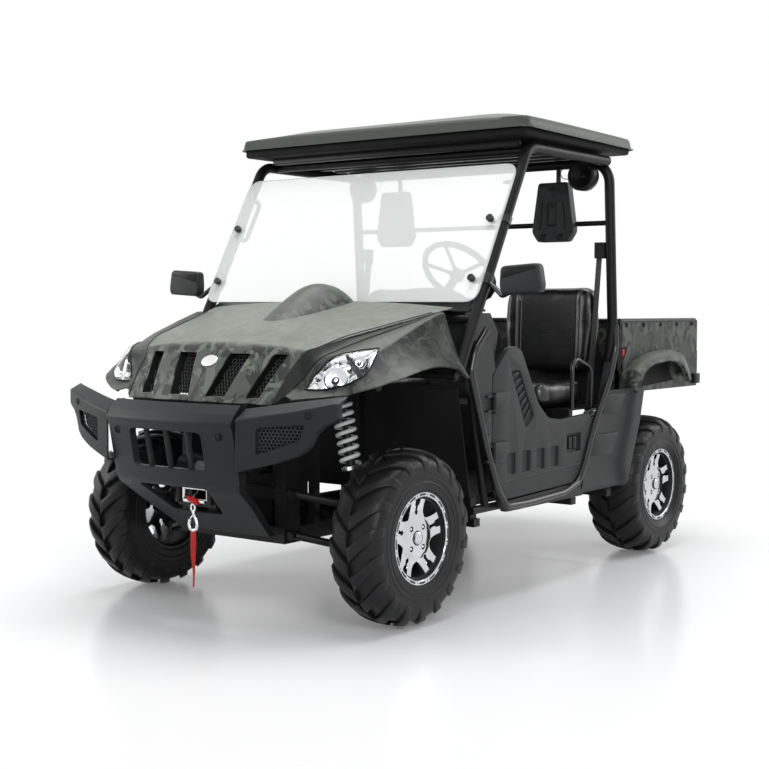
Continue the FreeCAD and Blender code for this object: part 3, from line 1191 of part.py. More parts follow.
def turned(profile, count):
    """A solid turned about the axle from a closed profile, with flat facets."""
    facets = []
    for index in range(count):
        first = 2 * math.pi * index / count
        last = 2 * math.pi * (index + 1) / count
        for here, there in zip(profile, profile[1:] + profile[:1]):
            facets.append((around(*here, first), around(*there, first),
                           around(*there, last), around(*here, last)))
    return faceted_solid(facets)


def rim(width):
    half = rim_half_share * width
    seat = s.bead_radius * math.cos(math.pi / (2 * LUG_COUNT)) - s.wheel_gap
    profile = [(-half - s.rim_lip, s.rim_radius), (-half - s.rim_lip / 2, s.rim_radius), (-half, seat),
               (half, seat), (half + s.rim_lip / 2, s.rim_radius), (half + s.rim_lip, s.rim_radius),
               (half + s.rim_lip, seat - s.rim_wall * 2), (half - s.rim_lip, seat - s.rim_wall),
               (-half - s.rim_lip, seat - s.rim_wall)]
    barrel = turned(profile, RIM_FACETS)
    face_x = half - s.rim_lip * 2
    hub = turned([(face_x - s.hub_depth, 0), (face_x, 0), (face_x, s.hub_radius * 2),
                  (face_x - s.spoke_depth, s.hub_radius * 2),
                  (face_x - s.hub_depth, s.hub_radius)], RIM_FACETS // 2)
    spokes = []
    for index in range(SPOKE_COUNT):
        bar = block(Vector(face_x - s.spoke_depth, -s.spoke_width / 2, s.hub_radius),
                    Vector(face_x, s.spoke_width / 2, seat - s.rim_wall / 2))
        bar.rotate(Vector(0, 0, 0), Vector(1, 0, 0), 360 * index / SPOKE_COUNT)
        spokes.append(bar)
    return fused(barrel, hub, *spokes)


wheel_places = {"fl": (1, s.front_half_track, front_axle), "fr": (-1, s.front_half_track, front_axle),
                "rl": (1, s.rear_half_track, rear_axle), "rr": (-1, s.rear_half_track, rear_axle)}
shapes = {width: (tyre(width), rim(width)) for width in (s.front_tyre_width, s.rear_tyre_width)}
for name, (side, half, axle) in wheel_places.items():
    width = s.front_tyre_width if axle == front_axle else s.rear_tyre_width
    for kind, shape in zip(("tyre", "rim"), shapes[width]):
        piece = shape if side > 0 else mirrored(shape)
        thing = solid_node(f"{kind}_{name}", piece)
        thing.Placement = FreeCAD.Placement(Vector(side * half, axle, s.tyre_radius), FreeCAD.Rotation())


# Cargo box: floor, front wall and sides with arch flares, and a tailgate hung at the floor
bed_front = rear_axle - s.bed_front_gap
bed_back = rear_axle + s.bed_rear_reach
gate_front = bed_back - s.tailgate_wall
gate_hinge = Vector(0, bed_back - s.tailgate_wall / 2, s.bed_floor - s.hinge_radius - s.gate_hinge_gap)


def gate_pins():
    """The fixed halves of the tailgate's hinges: a pin between two ears under the floor's rear edge."""
    pieces = []
    floor_end = gate_front - s.tailgate_gap
    reach = barrel_half + s.hinge_clearance
    for side in (-1, 1):
        middle = side * s.gate_hinge_half
        pieces.append(Part.makeCylinder(s.hinge_pin_radius, 2 * (reach + s.hinge_radius),
                                        gate_hinge + Vector(middle - reach - s.hinge_radius, 0, 0),
                                         Vector(1, 0, 0)))
        for low in (middle - reach - s.hinge_radius, middle + reach):
            pieces.append(block(Vector(low, floor_end - s.bed_lug_width, gate_hinge.z - s.hinge_radius),
                                Vector(low + s.hinge_radius, gate_hinge.y + s.hinge_radius / 2,
                                       gate_hinge.z + s.hinge_radius)))
            pieces.append(block(Vector(low, floor_end - s.bed_lug_width, gate_hinge.z),
                                Vector(low + s.hinge_radius, floor_end, s.bed_floor + s.hinge_radius)))
    return pieces


def cargo_box():
    outer = block(Vector(-s.bed_half, bed_front, s.bed_floor),
                  Vector(s.bed_half, gate_front - s.tailgate_gap, s.bed_rail))
    inner = block(Vector(s.bed_wall - s.bed_half, bed_front + s.bed_wall, s.bed_floor + s.bed_wall),
                  Vector(s.bed_half - s.bed_wall, bed_back, s.bed_rail + s.cut_overrun))
    tub = outer.cut(inner)
    ends = block(Vector(s.bed_half - s.corner_width, gate_front - s.tailgate_gap, s.bed_floor),
                 Vector(s.bed_half, bed_back, s.bed_rail))
    rails = block(Vector(s.bed_half - s.bed_wall - s.bed_rail_overhang, bed_front,
                         s.bed_rail - s.bed_rail_height),
                  Vector(s.bed_half + s.bed_rail_overhang, bed_back, s.bed_rail))
    rise = s.flare_arch - s.bed_floor
    run = bed_back - bed_front
    outline = [Vector(s.bed_half - s.flare_wall, bed_front - s.cut_overrun / 2, s.bed_floor + s.flare_wall),
               Vector(s.bed_half - s.flare_wall, bed_front + s.cut_overrun, s.flare_top - s.cut_overrun),
               Vector(s.bed_half - s.flare_wall, bed_front + run * 0.2, s.flare_top),
               Vector(s.bed_half - s.flare_wall, bed_front + run * 0.8, s.flare_top),
               Vector(s.bed_half - s.flare_wall, bed_front + run * 0.8, s.flare_top - s.cut_overrun * 3),
               Vector(s.bed_half - s.flare_wall, bed_front + run * 0.72, s.flare_arch - s.cut_overrun * 2),
               Vector(s.bed_half - s.flare_wall, bed_front + run * 0.55, s.flare_arch),
               Vector(s.bed_half - s.flare_wall, bed_front + run * 0.25, s.flare_arch),
               Vector(s.bed_half - s.flare_wall, bed_front + run * 0.08, s.flare_arch - s.cut_overrun * 2),
               Vector(s.bed_half - s.flare_wall, bed_front + s.cut_overrun, s.bed_floor + s.flare_wall)]
    flare = flat_face(outline).extrude(Vector(s.flare_outer - s.bed_half + s.flare_wall, 0, 0))
    lug = block(Vector(s.rail_half + s.bed_lug_width / 2 + s.hinge_clearance,
                       bed_hinge_y - s.bed_lug_width / 2,
                       s.hinge_axis_height - s.bed_lug_width / 2),
                Vector(s.rail_half + s.bed_lug_width * 1.5, bed_hinge_y + s.bed_lug_width / 2, s.bed_floor))
    lug = lug.cut(Part.makeCylinder(s.bed_pin_radius + s.hinge_clearance, s.bed_lug_width * 2,
                                    Vector(s.rail_half, bed_hinge_y, s.hinge_axis_height), Vector(1, 0, 0)))
    return fused(tub, *both_sides(ends, rails, flare, lug), *gate_pins())


solid_node("cargo_box", cargo_box())
gate_half = s.bed_half - s.corner_width - s.tailgate_gap
gate = block(Vector(-gate_half, gate_front, s.bed_floor),
             Vector(gate_half, bed_back, s.bed_rail - s.bed_rail_height))
for side in (-1, 1):
    low = gate_hinge + Vector(side * s.gate_hinge_half - barrel_half, 0, 0)
    barrel = Part.makeCylinder(s.hinge_radius, s.hinge_length, low, Vector(1, 0, 0))
    leaf = block(low - Vector(0, s.hinge_radius / 2, 0),
                 Vector(low.x + s.hinge_length, low.y + s.hinge_radius / 2, s.bed_floor + s.hinge_radius))
    bore = Part.makeCylinder(s.hinge_pin_radius + s.hinge_clearance, s.hinge_length * 2,
                             low - Vector(barrel_half, 0, 0), Vector(1, 0, 0))
    gate = gate.fuse(barrel).fuse(leaf).cut(bore)
solid_node("tailgate", gate)
lamp = block(Vector(s.bed_half - s.tail_lamp_width, bed_back, s.bed_floor + s.bed_wall),
             Vector(s.bed_half, bed_back + s.tail_lamp_depth, s.bed_floor + s.bed_wall + s.tail_lamp_height))
solid_node("tail_lamps", *both_sides(lamp))

document.recompute()
for thing in document.Objects:
    faults = [state for state in thing.State if state in ("Invalid", "Error")]
    if faults:
        raise RuntimeError(f"{thing.Label} is {faults}")
os.makedirs("parts", exist_ok=True)
for node, thing in nodes.items():
    if thing.Shape.isNull() or not thing.Shape.isValid():
        raise RuntimeError(f"{node} has no valid shape")
    thing.Shape.exportStep(f"parts/{node}.step")
    print(node, len(thing.Shape.Solids), round(thing.Shape.Volume / 1e6, 3))
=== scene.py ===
import bpy
import math
from mathutils import Euler, Matrix, Vector


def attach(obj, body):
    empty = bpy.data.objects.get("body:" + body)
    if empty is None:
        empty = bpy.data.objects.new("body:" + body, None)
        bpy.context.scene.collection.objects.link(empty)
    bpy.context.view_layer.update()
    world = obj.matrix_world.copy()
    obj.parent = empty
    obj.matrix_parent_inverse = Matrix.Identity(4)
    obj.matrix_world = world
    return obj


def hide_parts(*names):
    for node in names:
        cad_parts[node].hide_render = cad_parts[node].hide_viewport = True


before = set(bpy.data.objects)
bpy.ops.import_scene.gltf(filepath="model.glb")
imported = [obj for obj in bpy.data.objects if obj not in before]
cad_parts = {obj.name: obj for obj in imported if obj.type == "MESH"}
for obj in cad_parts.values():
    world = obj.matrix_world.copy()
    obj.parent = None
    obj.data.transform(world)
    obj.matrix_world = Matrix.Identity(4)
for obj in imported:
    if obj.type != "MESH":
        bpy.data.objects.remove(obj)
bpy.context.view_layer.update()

# Studio
# A pale floor that runs to white, a white surround, one large soft lamp above and two to the sides, and the
# camera at the height and distance that the photograph was taken from.
CAMERA_PLACE = (3.46938, -4.86844, 1.12798)
CAMERA_TURN = math.radians(36.8079)
CAMERA_DIP = math.radians(3.1796)
CAMERA_ROLL = math.radians(0.1620)
CAMERA_LENS = 64.0
FLOOR_HALF = 14.0

bpy.ops.object.camera_add(location=CAMERA_PLACE)
camera = bpy.context.object
aim = (Euler((0, 0, CAMERA_TURN)).to_matrix() @ Euler((math.pi / 2 - CAMERA_DIP, 0, 0)).to_matrix()
       @ Euler((0, 0, CAMERA_ROLL)).to_matrix())
camera.rotation_euler = aim.to_euler()
camera.data.lens = CAMERA_LENS
camera.data.sensor_width = 36
camera.data.clip_end = 200
bpy.context.scene.camera = camera
bpy.context.scene.view_settings.view_transform = "Standard"


def soft_lamp(place, target, width, power):
    """A square soft lamp that faces a point."""
    bpy.ops.object.light_add(type="AREA", location=place)
    lamp = bpy.context.object
    lamp.data.size = width
    lamp.data.energy = power
    lamp.rotation_euler = (Vector(target) - Vector(place)).to_track_quat("-Z", "Y").to_euler()
    return lamp


soft_lamp((0.0, 0.2, 5.2), (0, 0, 0), 4.0, 270)
soft_lamp((4.6, -4.2, 3.0), (0, -0.4, 0.8), 2.4, 130)
soft_lamp((-5.0, -3.4, 2.6), (0, -0.4, 0.8), 3.0, 110)
soft_lamp((3.4, 4.4, 3.2), (0, 0.4, 0.9), 3.0, 90)


def wire(tree, *joins):
    """Join nodes, each row giving a node and its output, then the next node and its input."""
    for source, output, target, entry in joins:
        tree.links.new(source.outputs[output], target.inputs[entry])


def node(tree, kind, **settings):
    """A shader node with its properties and its inputs set by name or number."""
    made = tree.nodes.new(kind)
    inputs = settings.pop("inputs", {})
    for key, value in settings.items():
        setattr(made, key, value)
    for key, value in inputs.items():
        made.inputs[key].default_value = value
    return made


def seen_rays(tree, rays):
    """One for rays from the camera, and for those that metal or glass sends on."""
    first = node(tree, "ShaderNodeMath", operation="MAXIMUM")
    both = node(tree, "ShaderNodeMath", operation="MAXIMUM")
    wire(tree, (rays, "Is Camera Ray", first, 0), (rays, "Is Glossy Ray", first, 1), (first, 0, both, 0),
         (rays, "Is Transmission Ray", both, 1))
    return both


world = bpy.data.worlds.new("white_surround")
bpy.context.scene.world = world
world.use_nodes = True
tree = world.node_tree
tree.nodes.clear()
sky = node(tree, "ShaderNodeBackground", inputs={"Color": (0.80, 0.82, 0.84, 1), "Strength": 0.40})
paper = node(tree, "ShaderNodeBackground", inputs={"Color": (1, 1, 1, 1), "Strength": 1.0})
rays = node(tree, "ShaderNodeLightPath")
choice = node(tree, "ShaderNodeMixShader")
surface = node(tree, "ShaderNodeOutputWorld")
wire(tree, (seen_rays(tree, rays), 0, choice, 0), (sky, 0, choice, 1), (paper, 0, choice, 2),
     (choice, 0, surface, 0))

bpy.ops.mesh.primitive_plane_add(size=2 * FLOOR_HALF, location=(0, 0, 0))
floor = bpy.context.object
floor.name = "studio_floor"
floor_paint = bpy.data.materials.new("pale_floor")
floor_paint.use_nodes = True
tree = floor_paint.node_tree
tree.nodes.clear()
place = node(tree, "ShaderNodeTexCoord")
reach = node(tree, "ShaderNodeVectorMath", operation="LENGTH")
fade = node(tree, "ShaderNodeMapRange", interpolation_type="SMOOTHSTEP",
            inputs={"From Min": 1.3, "From Max": 3.4, "To Min": 0.10, "To Max": 1.0})
matt = node(tree, "ShaderNodeBsdfPrincipled", inputs={"Base Color": (0.86, 0.86, 0.87, 1), "Roughness": 0.22,
                                                      "Specular IOR Level": 0.35})
glow = node(tree, "ShaderNodeEmission", inputs={"Color": (1, 1, 1, 1), "Strength": 1.0})
rays = node(tree, "ShaderNodeLightPath")
seen = node(tree, "ShaderNodeMath", operation="MULTIPLY")
blend = node(tree, "ShaderNodeMixShader")
surface = node(tree, "ShaderNodeOutputMaterial")
wire(tree, (place, "Object", reach, 0), (reach, "Value", fade, "Value"), (fade, 0, seen, 0),
     (seen_rays(tree, rays), 0, seen, 1), (seen, 0, blend, 0), (matt, 0, blend, 1), (glow, 0, blend, 2),
     (blend, 0, surface, 0))
floor.data.materials.append(floor_paint)


# Pull strap
# A red webbing strap hangs limp from the winch hook, so that a hand can pull the hook out. It is a flat
# woven band, wide where it is sewn round the hook, that narrows to a tail.
HOOK_Y = -1.3763
STRAP_ROUTE = [(0.0, HOOK_Y, 0.330), (0.001, -1.3773, 0.280), (-0.001, HOOK_Y, 0.230),
               (0.002, -1.3753, 0.178), (0.0, HOOK_Y, 0.125)]
STRAP_WIDTH = 0.024
STRAP_WALL = 0.003
STRAP_RED = (0.62, 0.016, 0.012)


def choose(*things):
    """Leave edit mode and select only these objects."""
    if bpy.context.object and bpy.context.object.mode != "OBJECT":
        bpy.ops.object.mode_set(mode="OBJECT")
    bpy.ops.object.select_all(action="DESELECT")
    for thing in things:
        thing.select_set(True)
    bpy.context.view_layer.objects.active = things[0]


def apply_modifier(piece, kind, **settings):
    """Add a modifier with its settings and apply it."""
    choose(piece)
    modifier = piece.modifiers.new(kind.lower(), kind)
    for key, value in settings.items():
        setattr(modifier, key, value)
    bpy.ops.object.modifier_apply(modifier=modifier.name)
    return piece


def smooth(piece, degrees=35):
    """Shade a piece smooth, with creases kept at its sharper edges."""
    choose(piece)
    bpy.ops.object.shade_smooth_by_angle(angle=math.radians(degrees))
    return piece


def outward(piece, seam=0.00002):
    """Merge a piece's doubled points and turn its faces outwards."""
    choose(piece)
    bpy.ops.object.mode_set(mode="EDIT")
    bpy.ops.mesh.select_all(action="SELECT")
    bpy.ops.mesh.remove_doubles(threshold=seam)
    bpy.ops.mesh.normals_make_consistent(inside=False)
    bpy.ops.object.mode_set(mode="OBJECT")
    return piece


def started(add, **settings):
    """A primitive, added with nothing else selected."""
    bpy.ops.object.select_all(action="DESELECT")
    add(**settings)
    return bpy.context.object


def walled(piece, thickness, offset=0.0):
    """Give a sheet its thickness, about its own face or to one side of it."""
    return apply_modifier(piece, "SOLIDIFY", thickness=thickness, offset=offset)


def formed_sheet(columns, rows, form):
    """A grid whose points are moved to form(u, v), with u across and v along from 0 to 1."""
    sheet = started(bpy.ops.mesh.primitive_grid_add, x_subdivisions=columns, y_subdivisions=rows, size=1,
                    location=(0, 0, 0))
    for vertex in sheet.data.vertices:
        vertex.co = form(vertex.co.x + 0.5, vertex.co.y + 0.5)
    return sheet


def fix(piece, name, body, slot, paint, *hidden):
    """Name a finished piece, set its place into its mesh, paint it and fix it to its body."""
    choose(piece)
    bpy.ops.object.transform_apply(location=True, rotation=True, scale=True)
    piece.name = name
    piece.data.name = name
    if paint:
        piece.data.materials.clear()
        piece.data.materials.append(paint)
    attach(piece, body)
    if hidden:
        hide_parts(*hidden)
    return piece


def new_paint(name, colour, roughness, metallic=0.0, specular=0.5, coat=0.0, coat_roughness=0.1):
    """A material with a plain principled shader, to which a piece's own pattern is added."""
    paint = bpy.data.materials.new(name)
    paint.use_nodes = True
    shader = paint.node_tree.nodes["Principled BSDF"]
    shader.inputs["Base Color"].default_value = (*colour, 1)
    shader.inputs["Roughness"].default_value = roughness
    shader.inputs["Metallic"].default_value = metallic
    shader.inputs["Specular IOR Level"].default_value = specular
    shader.inputs["Coat Weight"].default_value = coat
    shader.inputs["Coat Roughness"].default_value = coat_roughness
    return paint, paint.node_tree, shader


def new_group(name, sockets_in, sockets_out):
    """A node group with named inputs and outputs, and its two end nodes."""
    group = bpy.data.node_groups.new(name, "ShaderNodeTree")
    for label, kind, value in sockets_in:
        socket = group.interface.new_socket(name=label, in_out="INPUT", socket_type=kind)
        if value is not None:
            socket.default_value = value
    for label, kind in sockets_out:
        group.interface.new_socket(name=label, in_out="OUTPUT", socket_type=kind)
    return group, group.nodes.new("NodeGroupInput"), group.nodes.new("NodeGroupOutput")


FLOAT = "NodeSocketFloat"
COLOUR = "NodeSocketColor"
VECTOR = "NodeSocketVector"

webbing, ends_in, ends_out = new_group("woven_webbing",
                                       [("Place", VECTOR, None), ("Colour", COLOUR, (0.5, 0.5, 0.5, 1)),
                                        ("Thread Scale", FLOAT, 400.0)],
                                       [("Color", COLOUR), ("Height", FLOAT)])
warp = node(webbing, "ShaderNodeTexWave", bands_direction="X", wave_profile="SIN")
weft = node(webbing, "ShaderNodeTexWave", bands_direction="Z", wave_profile="SIN")
both = node(webbing, "ShaderNodeMath", operation="MULTIPLY")
worn = node(webbing, "ShaderNodeTexNoise", inputs={"Scale": 60.0, "Detail": 4.0})
shade = node(webbing, "ShaderNodeMapRange", inputs={"To Min": 0.55, "To Max": 1.15})
tint = node(webbing, "ShaderNodeVectorMath", operation="SCALE")
for wave in (warp, weft):
    wire(webbing, (ends_in, "Place", wave, "Vector"), (ends_in, "Thread Scale", wave, "Scale"))
wire(webbing, (ends_in, "Place", worn, "Vector"), (warp, "Fac", both, 0), (weft, "Fac", both, 1),
     (worn, "Fac", shade, "Value"), (ends_in, "Colour", tint, 0), (shade, 0, tint, "Scale"),
     (tint, 0, ends_out, "Color"), (both, 0, ends_out, "Height"))


def use_group(tree, shader, group, height=0.0, **values):
    """Place a group in a material on object coordinates and join its outputs to the shader."""
    place = tree.nodes.new("ShaderNodeTexCoord")
    effect = node(tree, "ShaderNodeGroup", node_tree=group)
    wire(tree, (place, "Object", effect, "Place"))
    for key, value in values.items():
        effect.inputs[key.replace("_", " ")].default_value = value
    if "Color" in effect.outputs:
        wire(tree, (effect, "Color", shader, "Base Color"))
    if "Roughness" in effect.outputs:
        wire(tree, (effect, "Roughness", shader, "Roughness"))
    if height:
        bump = node(tree, "ShaderNodeBump", inputs={"Strength": 1.0, "Distance": height})
        wire(tree, (effect, "Height", bump, "Height"), (bump, 0, shader, "Normal"))
    return effect


red_webbing, tree, shader = new_paint("red_webbing", STRAP_RED, 0.75)
use_group(tree, shader, webbing, 0.0006, Colour=(*STRAP_RED, 1), Thread_Scale=420.0)

line = started(bpy.ops.curve.primitive_nurbs_path_add, location=(0, 0, 0))
spline = line.data.splines[0]
for point, place in zip(spline.points, STRAP_ROUTE):
    point.co = (*place, 1)
spline.order_u = 3
spline.use_endpoint_u = True
spline.resolution_u = 12
run = bpy.data.meshes.new_from_object(line)
strap_path = [vertex.co.copy() for vertex in run.vertices]
bpy.data.objects.remove(line)
strap_length = sum((there - here).length for here, there in zip(strap_path, strap_path[1:]))


def strap_form(u, v):
    """The band along its route, narrower and turned a little towards its tail."""
    step = v * (len(strap_path) - 1)
    here = strap_path[int(round(step))]
    narrow = 1.0 - 0.62 * max(v - 0.25, 0) / 0.75
    turn = 0.5 * math.sin(v * 5)
    across = (u - 0.5) * STRAP_WIDTH * narrow
    return here + Vector((across * math.cos(turn), across * math.sin(turn) * 0.6, 0))


strap = formed_sheet(4, len(strap_path) - 1, strap_form)
walled(strap, STRAP_WALL * 0.9)
outward(strap)
smooth(strap, 50)
fix(strap, "red_pull_strap", "vehicle", "strap_fabric", red_webbing, "hook_strap")
[tuple(point) for point in strap_path]


# Tyres
# Mud tyres of black rubber, moulded with two rows of tall curved lugs that meet in a chevron and run over
# the shoulder on to the side wall. Each is one moulding that seats on the beads of its rim.
TYRE_RADIUS = 0.3175
BEAD_RADIUS = 0.156
LUG_HEIGHT = 0.017
LUG_COUNT = 18
FRONT_WIDTH = 0.206
REAR_WIDTH = 0.242
FRONT_AXLE = -0.955
REAR_AXLE = 0.955
FRONT_TRACK = 0.617
REAR_TRACK = 0.600
RUBBER_BLACK = (0.011, 0.011, 0.012)

speckle, ends_in, ends_out = new_group("moulded_surface",
                                       [("Place", VECTOR, None), ("Colour", COLOUR, (0.02, 0.02, 0.02, 1)),
                                        ("Variation", FLOAT, 0.2), ("Gloss", FLOAT, 0.4),
                                        ("Gloss Spread", FLOAT, 0.15), ("Grain Scale", FLOAT, 500.0),
                                        ("Patch Scale", FLOAT, 9.0)],
                                       [("Color", COLOUR), ("Roughness", FLOAT), ("Height", FLOAT)])
patches = node(speckle, "ShaderNodeTexNoise", inputs={"Detail": 5.0, "Roughness": 0.6})
grains = node(speckle, "ShaderNodeTexVoronoi", feature="F1")
fine = node(speckle, "ShaderNodeTexNoise", inputs={"Detail": 3.0, "Roughness": 0.65})
centre = node(speckle, "ShaderNodeMath", operation="SUBTRACT", inputs={1: 0.5})
spread = node(speckle, "ShaderNodeMath", operation="MULTIPLY")
bright = node(speckle, "ShaderNodeMath", operation="ADD", inputs={1: 1.0})
tint = node(speckle, "ShaderNodeVectorMath", operation="SCALE")
dull = node(speckle, "ShaderNodeMath", operation="MULTIPLY_ADD")
mixed = node(speckle, "ShaderNodeMath", operation="ADD")
for texture, scale in ((patches, "Patch Scale"), (grains, "Grain Scale"), (fine, "Grain Scale")):
    wire(speckle, (ends_in, "Place", texture, "Vector"), (ends_in, scale, texture, "Scale"))
wire(speckle, (patches, "Fac", centre, 0), (centre, 0, spread, 0), (ends_in, "Variation", spread, 1),
     (spread, 0, bright, 0), (ends_in, "Colour", tint, 0), (bright, 0, tint, "Scale"), (centre, 0, dull, 0),
     (ends_in, "Gloss Spread", dull, 1), (ends_in, "Gloss", dull, 2), (grains, "Distance", mixed, 0),
     (fine, "Fac", mixed, 1), (tint, 0, ends_out, "Color"), (dull, 0, ends_out, "Roughness"),
     (mixed, 0, ends_out, "Height"))


def moulded_paint(name, colour, gloss, grain, height, variation=0.35, patch=9.0, gloss_spread=0.22,
                  **finish):
    """A moulded or cast surface with its own grain and patches of wear."""
    paint, tree, shader = new_paint(name, colour, gloss, **{"specular": 0.18, **finish})
    use_group(tree, shader, speckle, height, Colour=(*colour, 1), Variation=variation, Gloss=gloss,
              Gloss_Spread=gloss_spread, Grain_Scale=grain, Patch_Scale=patch)
    return paint


rubber = moulded_paint("tyre_rubber", RUBBER_BLACK, 0.36, 260.0, 0.0003, 0.5, 14.0, 0.25, specular=0.20)


def turned(profile, count):
    """A form turned about the X axis from a profile of (place along X, radius)."""
    form = started(bpy.ops.mesh.primitive_circle_add, vertices=count, radius=1, location=(0, 0, 0),
                   rotation=(0, math.pi / 2, 0))
    bpy.ops.object.transform_apply(location=True, rotation=True, scale=True)
    for vertex in form.data.vertices:
        vertex.co = Vector((profile[0][0], vertex.co.y * profile[0][1], vertex.co.z * profile[0][1]))
    bpy.ops.object.mode_set(mode="EDIT")
    bpy.ops.mesh.select_all(action="SELECT")
    for (here, inner), (there, outer) in zip(profile, profile[1:]):
        scale = outer / inner
        bpy.ops.mesh.extrude_region_move(TRANSFORM_OT_translate={"value": (there - here, 0, 0)})
        bpy.ops.transform.resize(value=(1, scale, scale), center_override=(there, 0, 0))
    bpy.ops.object.mode_set(mode="OBJECT")
    return outward(form)


def tyre_curve(width):
    """The tread and wall as rows of (across, radius, lug height, turn in pitches), from centre to wall."""
    crown = TYRE_RADIUS - LUG_HEIGHT
    return [(0.010 * width, crown, 0.0168, 0.0), (0.12 * width, crown - 0.0008, 0.0168, 0.17),
            (0.23 * width, crown - 0.0025, 0.0160, 0.35), (0.33 * width, crown - 0.007, 0.0150, 0.52),
            (0.42 * width, crown - 0.0155, 0.0135, 0.68), (0.475 * width, crown - 0.028, 0.0110, 0.78),
            (0.496 * width, crown - 0.045, 0.0065, 0.84), (0.500 * width, crown - 0.060, 0.0025, 0.88)]


def joined(*parts):
    """One object from several."""
    choose(*parts)
    bpy.ops.object.join()
    return bpy.context.object


def copied(piece, move):
    """A copy of a piece with its own mesh, moved by a matrix, and turned outwards if that mirrors it."""
    copy = bpy.data.objects.new(piece.name, piece.data.copy())
    bpy.context.collection.objects.link(copy)
    copy.data.transform(move)
    if move.determinant() < 0:
        copy.data.flip_normals()
    return copy


def make_tyre(width):
    """One tyre about the origin with its outer side to +X."""
    crown = TYRE_RADIUS - LUG_HEIGHT
    half = 0.4 * width
    side = [(half, BEAD_RADIUS), (half + 0.010, 0.160), (half + 0.013, 0.168), (half + 0.0125, 0.171),
            (half + 0.016, 0.174), (0.500 * width - 0.003, 0.196), (0.500 * width - 0.001, 0.1975),
            (0.500 * width - 0.001, 0.2005), (0.500 * width - 0.0025, 0.2025),
            (0.500 * width - 0.001, 0.2150), (0.500 * width + 0.0008, 0.2162),
            (0.500 * width + 0.0008, 0.2192), (0.500 * width - 0.0008, 0.2205),
            (0.500 * width - 0.001, 0.2350), (0.496 * width, crown - 0.045), (0.475 * width, crown - 0.028),
            (0.42 * width, crown - 0.0155), (0.33 * width, crown - 0.007), (0.23 * width, crown - 0.0025),
            (0.12 * width, crown - 0.0008), (0.0, crown)]
    other_side = [(-across, radius) for across, radius in side[-2::-1]]
    bead = [(-half, BEAD_RADIUS - 0.008), (half, BEAD_RADIUS - 0.008), (half, BEAD_RADIUS)]
    body = turned(side + other_side + bead, 72)
    pitch = 2 * math.pi / LUG_COUNT
    curve = tyre_curve(width)

    def lug_top(u, v):
        """The face of one lug, from the tread's middle over the shoulder."""
        step = u * (len(curve) - 1)
        low = min(int(step), len(curve) - 2)
        part = step - low
        across, radius, height, turn = [a + (b - a) * part for a, b in zip(curve[low], curve[low + 1])]
        thick = 0.47 - 0.10 * u
        angle = (turn + 0.25 + (v - 0.5) * thick) * pitch
        reach = radius + height * (1.0 if u < 0.8 else 0.9)
        out = height * max(u - 0.55, 0) * 0.9
        return Vector((across + out, reach * math.sin(angle), reach * math.cos(angle)))

    lug = formed_sheet(14, 3, lug_top)
    outward(lug)
    if sum(face.normal.dot(face.center) for face in lug.data.polygons) < 0:
        choose(lug)
        bpy.ops.object.mode_set(mode="EDIT")
        bpy.ops.mesh.select_all(action="SELECT")
        bpy.ops.mesh.flip_normals()
        bpy.ops.object.mode_set(mode="OBJECT")
    walled(lug, 0.019, -1.0)
    apply_modifier(lug, "BEVEL", width=0.0028, segments=2, limit_method="ANGLE",
                   angle_limit=math.radians(40))
    parts = [body]
    for side_turn, flip in ((0.0, 1), (0.5, -1)):
        for index in range(LUG_COUNT):
            turn = Matrix.Rotation(-(index + side_turn) * pitch, 4, "X")
            parts.append(copied(lug, turn @ Matrix.Scale(flip, 4, (1, 0, 0))))
    bpy.data.objects.remove(lug)
    return smooth(joined(*parts), 42)


WHEELS = (("fl", 1, FRONT_TRACK, FRONT_AXLE, FRONT_WIDTH), ("fr", -1, FRONT_TRACK, FRONT_AXLE, FRONT_WIDTH),
          ("rl", 1, REAR_TRACK, REAR_AXLE, REAR_WIDTH), ("rr", -1, REAR_TRACK, REAR_AXLE, REAR_WIDTH))


def place_on_wheels(make, name, hidden, slot, paint):
    """Make a piece at the origin in both widths and copy it to each wheel, mirrored for the right side."""
    made = {width: make(width) for width in (FRONT_WIDTH, REAR_WIDTH)}
    for wheel, side, track, axle, width in WHEELS:
        place = Matrix.Translation((side * track, axle, TYRE_RADIUS))
        copy = copied(made[width], place @ Matrix.Scale(side, 4, (1, 0, 0)))
        fix(copy, f"{name}_{wheel}", f"wheel_{wheel}", slot, paint, f"{hidden}_{wheel}")
    for piece in made.values():
        bpy.data.objects.remove(piece)


place_on_wheels(make_tyre, "tyre_moulding", "tyre", "tyre_rubber", rubber)


# Rims
# Cast alloy wheels, chromed, with five pairs of spokes and a lip ring of black slots and rivets. The barrel
# behind the spokes is black. Four nuts under small cones hold each to its hub, round a pressed-in centre
# cap.
RIM_RADIUS = 0.168
SPOKE_PAIRS = 5
LIP_SLOTS = 16
SLOT_RING = 0.1572
NUT_CIRCLE = 0.050
NUT_TURNS = (45, 135, 225, 315)
CHROME_WHITE = (0.60, 0.61, 0.62)
BARREL_BLACK = (0.012, 0.012, 0.013)

chrome = moulded_paint("wheel_chrome", CHROME_WHITE, 0.10, 120.0, 0.00004, 0.06, 25.0, 0.12, metallic=1.0,
                       specular=0.5)
barrel_black = moulded_paint("barrel_black", BARREL_BLACK, 0.45, 400.0, 0.0001, 0.3, 20.0, 0.2, specular=0.5)


def prism(outline, shift):
    """A closed flat outline of points, extruded by a vector."""
    form = started(bpy.ops.mesh.primitive_circle_add, vertices=len(outline), radius=1, fill_type="NGON",
                   location=(0, 0, 0))
    for vertex, place in zip(form.data.vertices, outline):
        vertex.co = place
    bpy.ops.object.mode_set(mode="EDIT")
    bpy.ops.mesh.select_all(action="SELECT")
    bpy.ops.mesh.extrude_region_move(TRANSFORM_OT_translate={"value": shift})
    bpy.ops.object.mode_set(mode="OBJECT")
    return outward(form)


